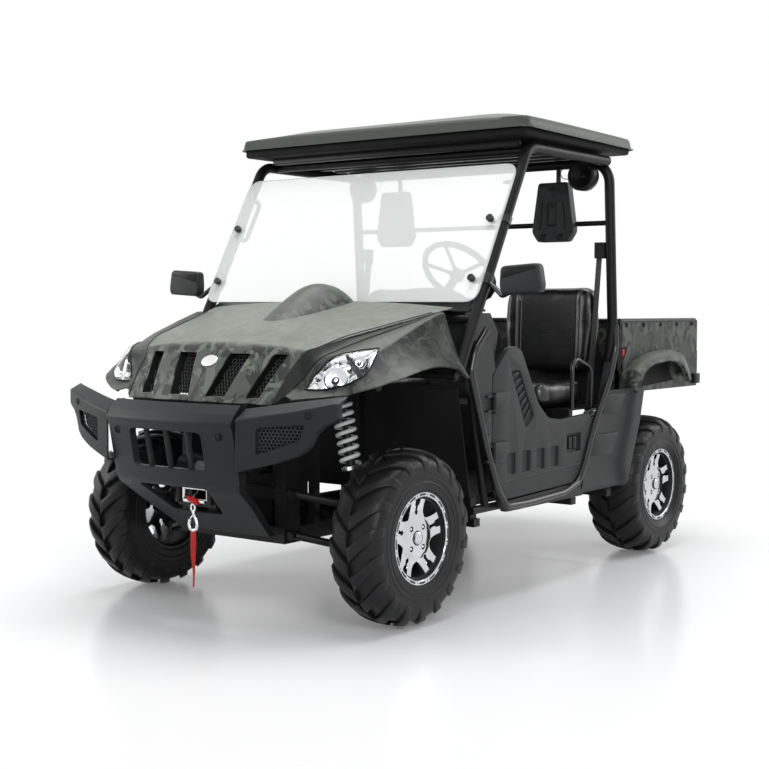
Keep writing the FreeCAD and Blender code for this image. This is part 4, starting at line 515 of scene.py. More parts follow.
def carve(piece, *tools):
    """Cut each tool out of a piece and remove the tool."""
    for tool in tools:
        apply_modifier(piece, "BOOLEAN", object=tool, operation="DIFFERENCE", solver="EXACT")
        bpy.data.objects.remove(tool)
    return piece


def soften(piece, width, segments=2, degrees=30):
    """Round a piece's sharp edges and shade it smooth."""
    apply_modifier(piece, "BEVEL", width=width, segments=segments, limit_method="ANGLE",
                   angle_limit=math.radians(degrees), harden_normals=False)
    return smooth(piece, 40)


def polar(place, radius, degrees):
    """A point of a wheel from its place along the axle, its radius and its turn."""
    turn = math.radians(degrees)
    return Vector((place, radius * math.sin(turn), radius * math.cos(turn)))


def make_rim(width):
    """One rim about the origin with its face to +X, its lip in chrome and its barrel in black."""
    half = 0.4 * width
    face = half - 0.012
    barrel = turned([(half - 0.004, 0.1475), (half + 0.0095, 0.1480), (half + 0.0115, 0.1500),
                     (half + 0.0115, 0.1640), (half + 0.0100, 0.1675), (half + 0.0060, RIM_RADIUS),
                     (half, 0.1555), (-half, 0.1555), (-half - 0.0060, RIM_RADIUS), (-half - 0.0115, 0.1660),
                     (-half - 0.0110, 0.1580), (-half + 0.006, 0.1460), (half - 0.050, 0.1390),
                     (half - 0.004, 0.1390), (half - 0.004, 0.1475)], 96)
    smooth(barrel, 25)
    barrel.data.materials.append(chrome)
    barrel.data.materials.append(barrel_black)
    for polygon in barrel.data.polygons:
        inward = Vector((0, polygon.center.y, polygon.center.z)).length < 0.1478
        polygon.material_index = 1 if inward or polygon.center.x < half - 0.01 else 0
    disc = turned([(face - 0.030, 0.004), (face + 0.001, 0.004), (face + 0.001, 0.030),
                   (face + 0.0005, 0.070), (face - 0.004, 0.078), (face - 0.005, 0.100),
                   (face + 0.001, 0.125), (face + 0.007, 0.1475), (face - 0.012, 0.1475),
                   (face - 0.018, 0.125), (face - 0.026, 0.100), (face - 0.030, 0.070),
                   (face - 0.030, 0.004)], 80)
    tools = []
    for index in range(SPOKE_PAIRS):
        middle = 360 / SPOKE_PAIRS * index
        window = [(0.1435, 17 + 38 * step / 6) for step in range(7)]
        window += [(0.126, 54), (0.108, 51), (0.094, 46), (0.086, 39), (0.084, 36), (0.086, 33), (0.094, 26),
                   (0.108, 21), (0.126, 18)]
        slot = [(0.1435, -6.5), (0.1440, 0), (0.1435, 6.5), (0.118, 6.2), (0.116, 3.4), (0.098, 3.2),
                (0.094, 6.0), (0.084, 3.5), (0.082, 0), (0.084, -3.5), (0.094, -6.0), (0.098, -3.2),
                (0.116, -3.4), (0.118, -6.2)]
        for outline in (window, slot):
            tools.append(prism([polar(face - 0.06, radius, middle + turn) for radius, turn in outline],
                               (0.12, 0, 0)))
        for turn in (NUT_TURNS if index == 0 else ()):
            place = polar(face - 0.004, NUT_CIRCLE, turn)
            tools.append(started(bpy.ops.mesh.primitive_cylinder_add, vertices=20, radius=0.0105,
                                 depth=0.040, location=place, rotation=(0, math.pi / 2, 0)))
    carve(disc, *tools)
    soften(disc, 0.0016, 2, 35)
    disc.data.materials.append(chrome)
    parts = [barrel, disc]
    for index in range(LIP_SLOTS):
        middle = 360 / LIP_SLOTS * index

        def slot_form(u, v):
            """One black slot of the lip ring, with rounded ends."""
            bow = math.sqrt(max(1 - abs(2 * v - 1) ** 6, 0))
            return polar(half + 0.0117, SLOT_RING + (u - 0.5) * 0.0075 * bow, middle + (v - 0.5) * 14.5)

        inlay = formed_sheet(1, 10, slot_form)
        inlay.data.materials.append(barrel_black)
        rivet = started(bpy.ops.mesh.primitive_uv_sphere_add, segments=10, ring_count=6, radius=0.0024,
                        location=polar(half + 0.0112, SLOT_RING, middle + 180 / LIP_SLOTS))
        bpy.ops.object.transform_apply(location=True, rotation=True, scale=True)
        rivet.data.materials.append(barrel_black)
        parts += [inlay, rivet]
    cap = turned([(face - 0.002, 0.0275), (face + 0.002, 0.0270), (face + 0.0025, 0.0235),
                  (face + 0.0075, 0.0225), (face + 0.0105, 0.0190), (face + 0.0125, 0.0120),
                  (face + 0.0130, 0.0004)], 48)
    cap.data.materials.append(barrel_black)
    cap.data.materials.append(chrome)
    for polygon in cap.data.polygons:
        polygon.material_index = 1 if polygon.center.x > face + 0.003 else 0
    smooth(cap, 30)
    parts.append(cap)
    for turn in NUT_TURNS:
        place = polar(face - 0.006, NUT_CIRCLE, turn)
        nut = started(bpy.ops.mesh.primitive_cone_add, vertices=6, radius1=0.0085, radius2=0.0055,
                      depth=0.014, location=place, rotation=(0, math.pi / 2, 0))
        bpy.ops.object.transform_apply(location=True, rotation=True, scale=True)
        soften(nut, 0.001, 2)
        nut.data.materials.append(chrome)
        cup = turned([(face - 0.018, 0.0103), (face - 0.018, 0.001)], 20)
        cup.data.transform(Matrix.Translation((0, place.y, place.z)))
        cup.data.materials.append(barrel_black)
        parts += [nut, cup]
    return joined(*parts)


place_on_wheels(make_rim, "wheel_casting", "rim", "rim_chrome", None)


# Hood
# One moulded panel in a printed camouflage, with a rolled nose, four leaning slots through its face and a
# raised bulge; faces that turn up are painted paler, as a painted highlight. Hexagon mesh, painted grey as
# a painted sheen, is held behind the slots, whose side walls and a sheet behind them are painted black as
# shade. A plain oval disc is pressed on, and a valance painted black as the shade under the nose closes
# the gap below.
HOOD_NOSE = -1.410
HOOD_LENGTH = 0.790
HOOD_WALL = 0.004
HOOD_FOOT = 0.796
HOOD_RISE = 0.336
HOOD_CROWN = 0.026
NOSE_SHARE = 0.18
NOSE_RISE = 0.56
SLOT_EDGES = ((0.040, 0.134, 0.083, 0.176), (0.232, 0.290, 0.274, 0.333))
SLOT_LOW = 0.812
SLOT_HIGH = 0.966
SLOT_DEPTH = 0.046
MESH_PITCH = 0.0145
CAMO_LIGHT = (0.170, 0.184, 0.164)
CAMO_MID = (0.092, 0.101, 0.092)
CAMO_DARK = (0.033, 0.037, 0.035)
# The paler tone painted on faces that turn up, as a painted highlight.
CAMO_TOP_HIGHLIGHT = (0.225, 0.245, 0.210)
TRIM_BLACK = (0.012, 0.0125, 0.013)
SILVER = (0.84, 0.85, 0.86)

camouflage, ends_in, ends_out = new_group(
    "camouflage_print_and_top_highlight",
    [("Place", VECTOR, None), ("Light", COLOUR, (*CAMO_LIGHT, 1)), ("Mid", COLOUR, (*CAMO_MID, 1)),
     ("Dark", COLOUR, (*CAMO_DARK, 1)), ("Faded", COLOUR, (*CAMO_TOP_HIGHLIGHT, 1)), ("Blotch Scale", FLOAT, 15.0),
     ("Gloss", FLOAT, 0.42)],
    [("Color", COLOUR), ("Roughness", FLOAT), ("Height", FLOAT)])
squeezed = node(camouflage, "ShaderNodeMapping", inputs={"Scale": (1.0, 0.75, 0.62)})
moved = node(camouflage, "ShaderNodeMapping", inputs={"Location": (3.1, 1.7, 5.3), "Scale": (0.9, 1.1, 0.8)})
dark_blot = node(camouflage, "ShaderNodeTexNoise",
                 inputs={"Detail": 2.2, "Roughness": 0.5, "Distortion": 1.1})
pale_blot = node(camouflage, "ShaderNodeTexNoise",
                 inputs={"Detail": 2.0, "Roughness": 0.5, "Distortion": 1.4})
dark_edge = node(camouflage, "ShaderNodeMapRange", inputs={"From Min": 0.505, "From Max": 0.525})
pale_edge = node(camouflage, "ShaderNodeMapRange", inputs={"From Min": 0.545, "From Max": 0.565})
darker = node(camouflage, "ShaderNodeMix", data_type="RGBA")
lighter = node(camouflage, "ShaderNodeMix", data_type="RGBA")
# Painted highlight: faces that turn up are blended towards the paler top tone, for the light of the lamp
# above.
facing = node(camouflage, "ShaderNodeTexCoord")
upward = node(camouflage, "ShaderNodeSeparateXYZ")
top_highlight_share = node(camouflage, "ShaderNodeMapRange", interpolation_type="SMOOTHSTEP",
              inputs={"From Min": 0.62, "From Max": 0.93, "To Max": 0.74})
top_lit_mix = node(camouflage, "ShaderNodeMix", data_type="RGBA")
dust = node(camouflage, "ShaderNodeTexNoise", inputs={"Scale": 6.0, "Detail": 6.0, "Roughness": 0.65})
shade = node(camouflage, "ShaderNodeMapRange", inputs={"To Min": 0.80, "To Max": 1.22})
tint = node(camouflage, "ShaderNodeVectorMath", operation="SCALE")
dull = node(camouflage, "ShaderNodeMath", operation="MULTIPLY_ADD", inputs={1: 0.16})
fine = node(camouflage, "ShaderNodeTexNoise", inputs={"Scale": 650.0, "Detail": 2.0})
wire(camouflage, (ends_in, "Place", squeezed, "Vector"), (ends_in, "Place", moved, "Vector"))
for texture, source in ((dark_blot, squeezed), (pale_blot, moved)):
    wire(camouflage, (source, 0, texture, "Vector"), (ends_in, "Blotch Scale", texture, "Scale"))
wire(camouflage, (dark_blot, "Fac", dark_edge, "Value"), (pale_blot, "Fac", pale_edge, "Value"),
     (dark_edge, 0, darker, "Factor"), (ends_in, "Mid", darker, "A"), (ends_in, "Dark", darker, "B"),
     (pale_edge, 0, lighter, "Factor"), (darker, "Result", lighter, "A"), (ends_in, "Light", lighter, "B"),
     (ends_in, "Place", dust, "Vector"), (ends_in, "Place", fine, "Vector"), (dust, "Fac", shade, "Value"),
     (facing, "Normal", upward, 0), (upward, "Z", top_highlight_share, "Value"), (top_highlight_share, 0, top_lit_mix, "Factor"),
     (lighter, "Result", top_lit_mix, "A"), (ends_in, "Faded", top_lit_mix, "B"), (top_lit_mix, "Result", tint, 0),
     (shade, 0, tint, "Scale"), (dust, "Fac", dull, 0), (ends_in, "Gloss", dull, 2),
     (tint, 0, ends_out, "Color"), (dull, 0, ends_out, "Roughness"), (fine, "Fac", ends_out, "Height"))


def camo_paint(name, strength=1.0, gloss=0.34, scale=15.0):
    """The printed camouflage, at one strength of its three greens and of the paler top tone, a painted
    highlight.
    """
    paint, tree, shader = new_paint(name, CAMO_MID, 0.45, specular=0.22)
    tones = [tuple(part * strength for part in tone) + (1,)
             for tone in (CAMO_LIGHT, CAMO_MID, CAMO_DARK, CAMO_TOP_HIGHLIGHT)]
    use_group(tree, shader, camouflage, 0.0001, Light=tones[0], Mid=tones[1], Dark=tones[2], Faded=tones[3],
              Blotch_Scale=scale, Gloss=gloss)
    return paint


hood_paint = camo_paint("hood_camouflage", 0.78)
# Painted shade: the fenders' camouflage is printed at about a quarter of its strength, for the shade on
# their sideways faces.
fender_paint = camo_paint("fender_camouflage_shaded", 0.26)
trim_black = moulded_paint("trim_black", TRIM_BLACK, 0.42, 700.0, 0.00015)
# Painted sheen: the black mesh is painted mid grey, for the light caught on its wires.
mesh_grey_painted_sheen = moulded_paint("mesh_grey_painted_sheen", (0.085, 0.088, 0.092), 0.30, 900.0, 0.00005)
bare_silver = moulded_paint("bright_silver", SILVER, 0.20, 600.0, 0.00003, 0.15, metallic=1.0)
# Near-black painted where shade falls: in slots, holes, grooves and gaps, and on sheets set behind openings.
painted_shade_black = moulded_paint("painted_shade_black", (0.004, 0.004, 0.004), 0.7, 300.0, 0.0001)


def between(table, place):
    """A value read between the rows of a table of (place, value)."""
    if place <= table[0][0]:
        return table[0][1]
    for (low, start), (high, end) in zip(table, table[1:]):
        if place <= high:
            return start + (end - start) * (place - low) / (high - low)
    return table[-1][1]


def hood_edge(s):
    """Half width and height of the hood's edge at a share of its length."""
    half = 0.398 + 0.212 * max(s - 0.1, 0) / 0.9 - 0.043 * max(1 - s / 0.22, 0) ** 1.3
    nose = NOSE_RISE * math.sin(min(s / NOSE_SHARE, 1) * math.pi / 2)
    height = HOOD_FOOT + HOOD_RISE * (nose + 0.44 * max(s - NOSE_SHARE, 0) / 0.82)
    return half, height


def set_back(side, s):
    """How far the curved face lies behind the foremost line of the nose."""
    t = min(max((s - 0.10) / 0.32, 0), 1)
    middle = (0.044 + 0.10 * min(s, 0.1)) * (1 - t * t * (3 - 2 * t))
    return middle + (0.010 + 0.20 * min(s, 0.1)) * side * side * (1 - t)


def hood_place(side, s, lift=0.0):
    """A point of the hood from its place across (-1 to 1) and along (0 to 1), lifted off its face."""
    half, height = hood_edge(s)
    up = min(s / NOSE_SHARE, 1)
    crown = HOOD_CROWN * up * (1 - side * side)
    ahead = HOOD_NOSE + s * HOOD_LENGTH + set_back(side, s) - lift * max(1 - s / NOSE_SHARE, 0)
    return Vector((side * half, ahead, height + crown + lift * up))


def face_y(x, height):
    """Where the hood's curved face lies at a place across it and a height."""
    s = 0.05
    for _ in range(4):
        side = x / hood_edge(s)[0]
        crown = HOOD_CROWN * min(s / NOSE_SHARE, 1) * (1 - side * side)
        share = min(max((height - HOOD_FOOT - crown) / (HOOD_RISE * NOSE_RISE), 0), 1)
        s = NOSE_SHARE * math.asin(share) / (math.pi / 2)
    return HOOD_NOSE + s * HOOD_LENGTH + set_back(side, s)


def ring_wall(outline, depth, wall, steps=1):
    """A wall round a closed outline of points, carried back by a vector."""
    count = len(outline)

    def form(u, v):
        return Vector(outline[int(round(u * count)) % count]) + Vector(depth) * v

    ring = formed_sheet(count, steps, form)
    walled(ring, wall)
    return outward(ring)


def rounded_loop(corners, radius, steps=4):
    """Points of a closed outline with its corners rounded."""
    loop = []
    count = len(corners)
    for index in range(count):
        corner = Vector(corners[index])
        back = Vector(corners[index - 1]) - corner
        ahead = Vector(corners[(index + 1) % count]) - corner
        reach = min(radius, back.length * 0.45, ahead.length * 0.45)
        start = corner + back.normalized() * reach
        end = corner + ahead.normalized() * reach
        for step in range(steps + 1):
            t = step / steps
            loop.append(start * (1 - t) ** 2 + corner * 2 * t * (1 - t) + end * t * t)
    return loop


def honeycomb(outline, pitch, strand, place):
    """Hexagon mesh inside a flat outline of (x, z), with its points put in place by a function."""
    corners = [Vector((point[0], point[1])) for point in outline]

    def inside(x, z):
        """Whether a point is in the outline, by how many of its edges lie to one side."""
        odd = False
        for here, there in zip(corners, corners[1:] + corners[:1]):
            if (here.y > z) != (there.y > z):
                crossing = (there.x - here.x) * (z - here.y) / (there.y - here.y) + here.x
                odd = not odd if x < crossing else odd
        return odd

    low_x, high_x = min(c.x for c in corners), max(c.x for c in corners)
    low_z, high_z = min(c.y for c in corners), max(c.y for c in corners)
    side = pitch / math.sqrt(3)
    points, faces, known = [], [], {}
    row = 0
    z = low_z
    while z < high_z + side:
        x = low_x + (pitch / 2 if row % 2 else 0)
        while x < high_x + pitch:
            if inside(x, z):
                loop = []
                for step in range(6):
                    turn = math.radians(60 * step + 30)
                    key = (round(x + side * math.cos(turn), 4), round(z + side * math.sin(turn), 4))
                    if key not in known:
                        known[key] = len(points)
                        points.append(place(*key))
                    loop.append(known[key])
                faces.append(loop)
            x += pitch
        z += side * 1.5
        row += 1
    mesh = bpy.data.meshes.new("mesh")
    mesh.from_pydata(points, [], faces)
    panel = bpy.data.objects.new("mesh", mesh)
    bpy.context.collection.objects.link(panel)
    apply_modifier(panel, "WIREFRAME", thickness=strand, use_even_offset=False)
    return panel


def both_sides(piece):
    """The same piece again on the other side of the vehicle."""
    choose(piece)
    bpy.ops.object.transform_apply(location=True, rotation=True, scale=True)
    return apply_modifier(piece, "MIRROR", use_mirror_merge=False)


def paint_on(piece, *paints):
    """Give a piece these materials and no other."""
    piece.data.materials.clear()
    for paint in paints:
        piece.data.materials.append(paint)
    return piece


def slot_corners(low_in, low_out, high_in, high_out):
    """The four corners of a leaning slot in the front view."""
    return [(low_in, 0, SLOT_LOW), (low_out, 0, SLOT_LOW), (high_out, 0, SLOT_HIGH), (high_in, 0, SLOT_HIGH)]


hood = formed_sheet(90, 80, lambda u, v: hood_place(2 * u - 1, v ** 1.7))
for vertex in hood.data.vertices:
    if vertex.co.y < HOOD_NOSE + 0.0004:
        vertex.co.y += 0.002
outward(hood)
walled(hood, HOOD_WALL, -1.0)
tools, walls, meshes = [], [], []
for edges in SLOT_EDGES:
    for side in (1, -1):
        loop = rounded_loop([(side * x, y, z) for x, y, z in slot_corners(*edges)], 0.006)
        tools.append(prism([point + Vector((0, HOOD_NOSE - 0.05, 0)) for point in loop], (0, 0.30, 0)))
        shaped = [Vector((point.x, face_y(point.x, point.z) + 0.002, point.z)) for point in loop]
        wall = ring_wall(shaped, (0, SLOT_DEPTH, 0), 0.0016)
        # Painted shade: the slot's side walls are near-black for the shade inside the slot; its top and
        # bottom keep the camouflage.
        paint_on(wall, painted_shade_black, hood_paint)
        for polygon in wall.data.polygons:
            polygon.material_index = 1 if abs(polygon.normal.z) > 0.8 else 0
        walls.append(wall)
        outline = [(point.x, point.z) for point in loop]
        meshes.append(honeycomb(outline, MESH_PITCH, 0.0026,
                                lambda x, z: Vector((x, face_y(x, z) + SLOT_DEPTH * 0.85, z))))
carve(hood, *tools)
soften(hood, 0.0012, 2, 40)
paint_on(hood, hood_paint)


def ledge_form(low_in, low_out, side):
    """The shallow recess below a slot, down to the hood's lower edge."""
    def form(u, v):
        z = 0.797 + (SLOT_LOW - 0.801) * v
        x = side * (low_in + (low_out - low_in) * u - 0.004 * (1 - v))
        return Vector((x, face_y(x, z) - 0.0022, z))
    return form


ledges = []
for edges in SLOT_EDGES:
    for side in (1, -1):
        ledge = formed_sheet(4, 3, ledge_form(edges[0], edges[1], side))
        walled(ledge, 0.003)
        outward(ledge)
        ledges.append(soften(paint_on(ledge, hood_paint), 0.001))
fix(joined(hood, *walls, *ledges), "hood_panel", "hood", "camouflage", None, "hood")
# Painted shade: a near-black sheet behind the slots and mesh, for the shade inside the nose.
backing = formed_sheet(24, 12, lambda u, v: hood_place((2 * u - 1) * 0.9, 0.012 + 0.15 * v)
                       + Vector((0, 0.054, 0)))
walled(backing, 0.002)
fix(outward(backing), "slot_backing", "hood", "mesh", painted_shade_black)
fix(smooth(joined(*meshes)), "hood_mesh", "hood", "mesh", mesh_grey_painted_sheen, "hood_grille")


def bulge_form(u, v):
    """The rounded bulge on the hood, low at its front and flat towards the rear."""
    t = v ** 0.8
    half = 0.165 * math.sqrt(0.9 * t + 0.1) * (1 - 0.10 * max(t - 0.75, 0) / 0.25)
    fall = 1 - 0.30 * (max(t - 0.62, 0) / 0.38) ** 2
    rise = 0.114 * math.sin((0.92 * t + 0.04) * math.pi / 2) * fall - 0.004
    y = -0.985 + t * 0.362
    base = hood_place(0, (y - HOOD_NOSE) / HOOD_LENGTH).z - 0.012
    side = 2 * u - 1
    return Vector((side * half, y, base + rise * math.cos(side * math.pi / 2) ** 0.85))


bulge = formed_sheet(40, 36, bulge_form)
outward(bulge)
walled(bulge, 0.004, -1.0)
fix(smooth(outward(bulge), 50), "hood_bulge", "hood", "camouflage", camo_paint("bulge_camouflage", 0.45))

disc = started(bpy.ops.mesh.primitive_cylinder_add, vertices=64, radius=1, depth=1, location=(0, 0, 0))
disc.scale = (0.037, 0.025, 0.006)
bpy.ops.object.transform_apply(location=True, rotation=True, scale=True)
soften(disc, 0.002, 3)
disc.data.transform(Matrix.Translation(hood_place(0, 0.086) + Vector((0, 0.0, 0.001)))
                    @ Matrix.Rotation(math.radians(52), 4, "X"))
fix(disc, "oval_disc", "hood", "rim_chrome", bare_silver)


def valance_form(u, v):
    """The strip under the hood's nose, leaning back, painted black for the shade there."""
    x = (2 * u - 1) * 0.345
    return Vector((x, face_y(x, 0.80) + 0.004 + 0.050 * v, 0.803 - 0.075 * v))


# Painted shade: a near-black sheet closes the gap under the nose, where shade falls.
valance = formed_sheet(30, 6, valance_form)
walled(valance, 0.003)
fix(outward(valance), "hood_valance", "vehicle", "cab_plastic", painted_shade_black)


# Front fenders
# Moulded plastic wings in the camouflage, printed at about a quarter of its strength as painted shade, with
# a long crease from the lamp to the cab and a rolled lip over the wheel. Each has an opening for its lamp,
# and a black strip closes its gap to the hood.
FENDER_OUTER = ((0.0, 0.42), (0.05, 0.47), (0.1, 0.52), (0.15, 0.56), (0.2, 0.60), (0.3, 0.68), (0.4, 0.725),
                (0.5, 0.738), (1.0, 0.738))
ARCH_LIP = ((0.0, 0.815), (0.1, 0.825), (0.2, 0.836), (0.3, 0.864), (0.4, 0.891), (0.5, 0.912), (0.6, 0.924),
            (0.7, 0.926), (0.8, 0.914), (0.9, 0.876))
RIDGE_HEIGHT = ((0.0, 0.822), (0.06, 0.834), (0.10, 0.850), (0.13, 0.876), (0.16, 0.908), (0.19, 0.937),
                (0.22, 0.955), (0.27, 0.967), (0.35, 0.975), (0.44, 0.984), (0.557, 1.024), (0.727, 1.073),
                (0.87, 1.109))
RIDGE_ACROSS = ((0.0, 0.42), (0.2, 0.43), (0.3, 0.45), (0.44, 0.50), (0.557, 0.47), (0.727, 0.353),
                (0.9, 0.21))
EDGE_DROP = ((0.0, 0.014), (0.06, 0.030), (0.15, 0.034), (0.3, 0.028), (0.5, 0.018), (0.9, 0.010))
LAMP_OUTLINE = ((0.088, 0.40), (0.108, 0.365), (0.135, 0.36), (0.165, 0.37), (0.20, 0.38), (0.25, 0.38),
                (0.31, 0.385), (0.37, 0.40), (0.44, 0.45), (0.385, 0.58), (0.335, 0.70), (0.285, 0.79),
                (0.235, 0.835), (0.185, 0.83), (0.14, 0.78), (0.112, 0.64))


def fender_place(across, s, lift=0.0):
    """A point of the left fender from the hood's edge (0) to the lip over the wheel (1)."""
    half, height = hood_edge(s)
    drop = between(EDGE_DROP, s)
    ahead = HOOD_NOSE + s * HOOD_LENGTH + set_back(1, s) + drop * max(1 - s / 0.15, 0)
    inner = Vector((half + 0.012, ahead, height - 0.004 - drop * min(s / 0.12, 1)))
    ridge_share = between(RIDGE_ACROSS, s)
    back = HOOD_NOSE + s * HOOD_LENGTH + 0.060 * max(1 - s / 0.25, 0)
    outer = Vector((between(FENDER_OUTER, s), back, between(ARCH_LIP, s)))
    ridge = Vector((inner.x + (outer.x - inner.x) * ridge_share, (inner.y + outer.y) / 2,
                    max(between(RIDGE_HEIGHT, s), outer.z + 0.006)))
    if across < ridge_share:
        t = across / ridge_share
        place = inner.lerp(ridge, t)
        place.z += 0.008 * math.sin(t * math.pi) * min(s / 0.2, 1)
    else:
        t = (across - ridge_share) / (1 - ridge_share)
        x = 0.80 * t + 0.20 * t * t
        z = 0.68 * t + 0.32 * math.sin(t * math.pi / 2)
        place = Vector((ridge.x + (outer.x - ridge.x) * x, ridge.y + (outer.y - ridge.y) * t,
                        ridge.z + (outer.z - ridge.z) * z))
    if lift:
        near = fender_place(min(across + 0.02, 1), s) - fender_place(max(across - 0.02, 0), s)
        along = fender_place(across, min(s + 0.02, 0.9)) - fender_place(across, max(s - 0.02, 0))
        place = place + along.cross(near).normalized() * -lift
    return place


def fender_form(u, v):
    """The fender's sheet, with its last share folded in under the lip."""
    s = 0.018 + 0.877 * v ** 1.15
    if u > 0.93:
        edge = fender_place(1, s)
        t = (u - 0.93) / 0.07
        return edge + Vector((-0.016 * t, 0, -0.004 * math.sin(t * math.pi)))
    return fender_place(u / 0.93, s)


fender = formed_sheet(56, 80, fender_form)
outward(fender)
walled(fender, 0.0035)
outward(fender)
lamp_loop = [fender_place(across, s) for s, across in LAMP_OUTLINE]
lamp_out = (fender_place(0.62, 0.22, 0.05) - fender_place(0.62, 0.22)).normalized()
carve(fender, prism([point - lamp_out * 0.09 for point in lamp_loop], lamp_out * 0.18))
smooth(paint_on(fender, fender_paint), 28)
fix(both_sides(fender), "fender_panels", "vehicle", "camouflage", None, "front_fenders")

STRIP_OUT = ((0.0, 0.22), (0.037, 0.20), (0.09, 0.20), (0.15, 0.17), (0.25, 0.10), (0.35, 0.06), (0.9, 0.05))
STRIP_IN = ((0.0, 1.0), (0.3, 0.99), (0.45, 0.97), (1.0, 0.985))


def strip_form(u, v):
    """The trim strip between the hood's edge and the fender, bowed down in its middle."""
    s = 0.004 + 0.885 * v
    inner = hood_place(between(STRIP_IN, s), s, 0.0025)
    outer = fender_place(between(STRIP_OUT, s), max(s, 0.02), 0.003)
    return inner.lerp(outer, u) + Vector((0.2, 0, -1)) * 0.007 * math.sin(u * math.pi)


strip = formed_sheet(8, 90, strip_form)
walled(strip, 0.003)
outward(strip)
fix(both_sides(smooth(strip, 40)), "hood_trim_strips", "vehicle", "cab_plastic", trim_black)


# Headlamps
# A clear moulded lens set in a black frame over a deep chromed bowl, with a large reflector round its bulb,
# a dark divider and a small reflector at the rear. Each is one sealed unit, screwed in from behind.
def lens_place(angle_share, inset, lift):
    """A point on the lamp's face from its turn round the outline, its inset to the middle and its lift."""
    step = angle_share * len(LAMP_OUTLINE)
    low = int(step) % len(LAMP_OUTLINE)
    high = (low + 1) % len(LAMP_OUTLINE)
    part = step - int(step)
    s = LAMP_OUTLINE[low][0] + (LAMP_OUTLINE[high][0] - LAMP_OUTLINE[low][0]) * part
    across = LAMP_OUTLINE[low][1] + (LAMP_OUTLINE[high][1] - LAMP_OUTLINE[low][1]) * part
    s += (0.235 - s) * inset
    across += (0.56 - across) * inset
    return fender_place(across, s, lift)


lens = formed_sheet(90, 12, lambda u, v: lens_place(u, v * 0.995, 0.002 + 0.007 * math.sin(v * math.pi / 2)))
outward(lens)
walled(lens, 0.002)
smooth(outward(lens), 60)
clear, tree, shader = new_paint("lens_clear", (1, 1, 1), 0.02)
shader.inputs["Transmission Weight"].default_value = 1.0
shader.inputs["IOR"].default_value = 1.30
ribs = node(tree, "ShaderNodeTexNoise", inputs={"Scale": 35.0, "Detail": 1.0})
bump = node(tree, "ShaderNodeBump", inputs={"Strength": 0.12, "Distance": 0.002})
place = tree.nodes.new("ShaderNodeTexCoord")
wire(tree, (place, "Object", ribs, "Vector"), (ribs, "Fac", bump, "Height"), (bump, 0, shader, "Normal"))
fix(both_sides(lens), "lamp_lenses", "vehicle", "lamp_clear", clear, "headlamps")

lamp_chrome = moulded_paint("lamp_chrome", (0.90, 0.91, 0.92), 0.09, 200.0, 0.00005, 0.12, metallic=1.0)


def bezel_form(u, v):
    """The round edge of the lamp's frame."""
    turn = 2 * math.pi * v
    return lens_place(u, 0.015 + 0.030 * math.cos(turn), 0.0025 + 0.0035 * math.sin(turn))


def bowl_form(u, v):
    """The chromed bowl behind the lens."""
    depth = -0.004 - 0.060 * math.sin(min(v * 1.25, 1) * math.pi / 2)
    return lens_place(u, 0.04 + v * 0.95, depth)


bezel = paint_on(outward(formed_sheet(90, 10, bezel_form)), trim_black)
bowl = formed_sheet(90, 12, bowl_form)
walled(bowl, 0.0015)
paint_on(outward(bowl), lamp_chrome)


def aimed(form, centre, axis):
    """Turn a form from the X axis to another axis and move it to a centre."""
    turn = Vector(axis).normalized().to_track_quat("X", "Z").to_matrix().to_4x4()
    form.data.transform(Matrix.Translation(centre) @ turn)
    return form


def reflector(centre, radius, axis, length):
    """A round dished reflector with a bulb in its middle."""
    parts = []
    dish = turned([(0.0, radius * 0.16), (length * 0.10, radius * 0.40), (length * 0.42, radius * 0.74),
                   (length, radius), (length * 1.02, radius * 1.04), (length * 0.9, radius * 1.05)], 40)
    walled(dish, 0.001)
    parts.append(paint_on(outward(dish), lamp_chrome))
    bulb = turned([(0.0, radius * 0.15), (length * 0.65, radius * 0.15), (length * 0.78, radius * 0.10),
                   (length * 0.82, radius * 0.01)], 20)
    parts.append(paint_on(bulb, bare_silver))
    collar = turned([(0.0, radius * 0.30), (length * 0.12, radius * 0.30), (length * 0.13, radius * 0.16)],
                    24)
    # Painted shade: the collar round the bulb's root is near-black for the shade in the hollow.
    parts.append(paint_on(collar, painted_shade_black))
    return smooth(aimed(joined(*parts), centre, axis), 40)


lamp_face = Vector((0.60, -0.72, 0.20))
large = reflector(fender_place(0.60, 0.185, -0.050), 0.042, lamp_face, 0.040)
small = reflector(fender_place(0.53, 0.325, -0.034), 0.022, lamp_face, 0.026)


def divider_form(u, v):
    """The upright wall between the lamp's two reflectors."""
    return fender_place(0.40 + 0.36 * u, 0.280 + 0.012 * u, -0.040 + 0.037 * v)


divider = formed_sheet(10, 3, divider_form)
walled(divider, 0.006)
paint_on(outward(divider), trim_black)
fix(both_sides(smooth(joined(bezel, bowl, large, small, divider), 45)), "lamp_units", "vehicle",
    "lamp_clear", None)


# Bumper
# A moulded bull bar in textured dark plastic: a centre plate that folds back over the top and runs down
# under the nose, with a barred opening and the winch's mouth, and a wing each side, split from it by a
# groove whose walls and back are painted near-black as shade.
BUMPER_FRONT = -1.540
WING_FRONT = -1.529
BUMPER_RADIUS = 1.389
PLATE_PROFILE = ((0.0, 0.052, 0.797), (0.10, 0.020, 0.765), (0.16, 0.003, 0.741), (0.19, 0.001, 0.732),
                 (0.24, 0.012, 0.706), (0.52, 0.039, 0.565), (0.62, 0.048, 0.517), (0.66, 0.058, 0.498),
                 (0.82, 0.195, 0.393), (1.0, 0.305, 0.312))
PLATE_HALF = ((0.312, 0.222), (0.43, 0.277), (0.53, 0.304), (0.80, 0.304))
WING_TOP = ((0.315, 0.783), (0.387, 0.794), (0.52, 0.815), (0.661, 0.833))
WING_FOLD = ((0.315, 0.749), (0.518, 0.781), (0.650, 0.812))
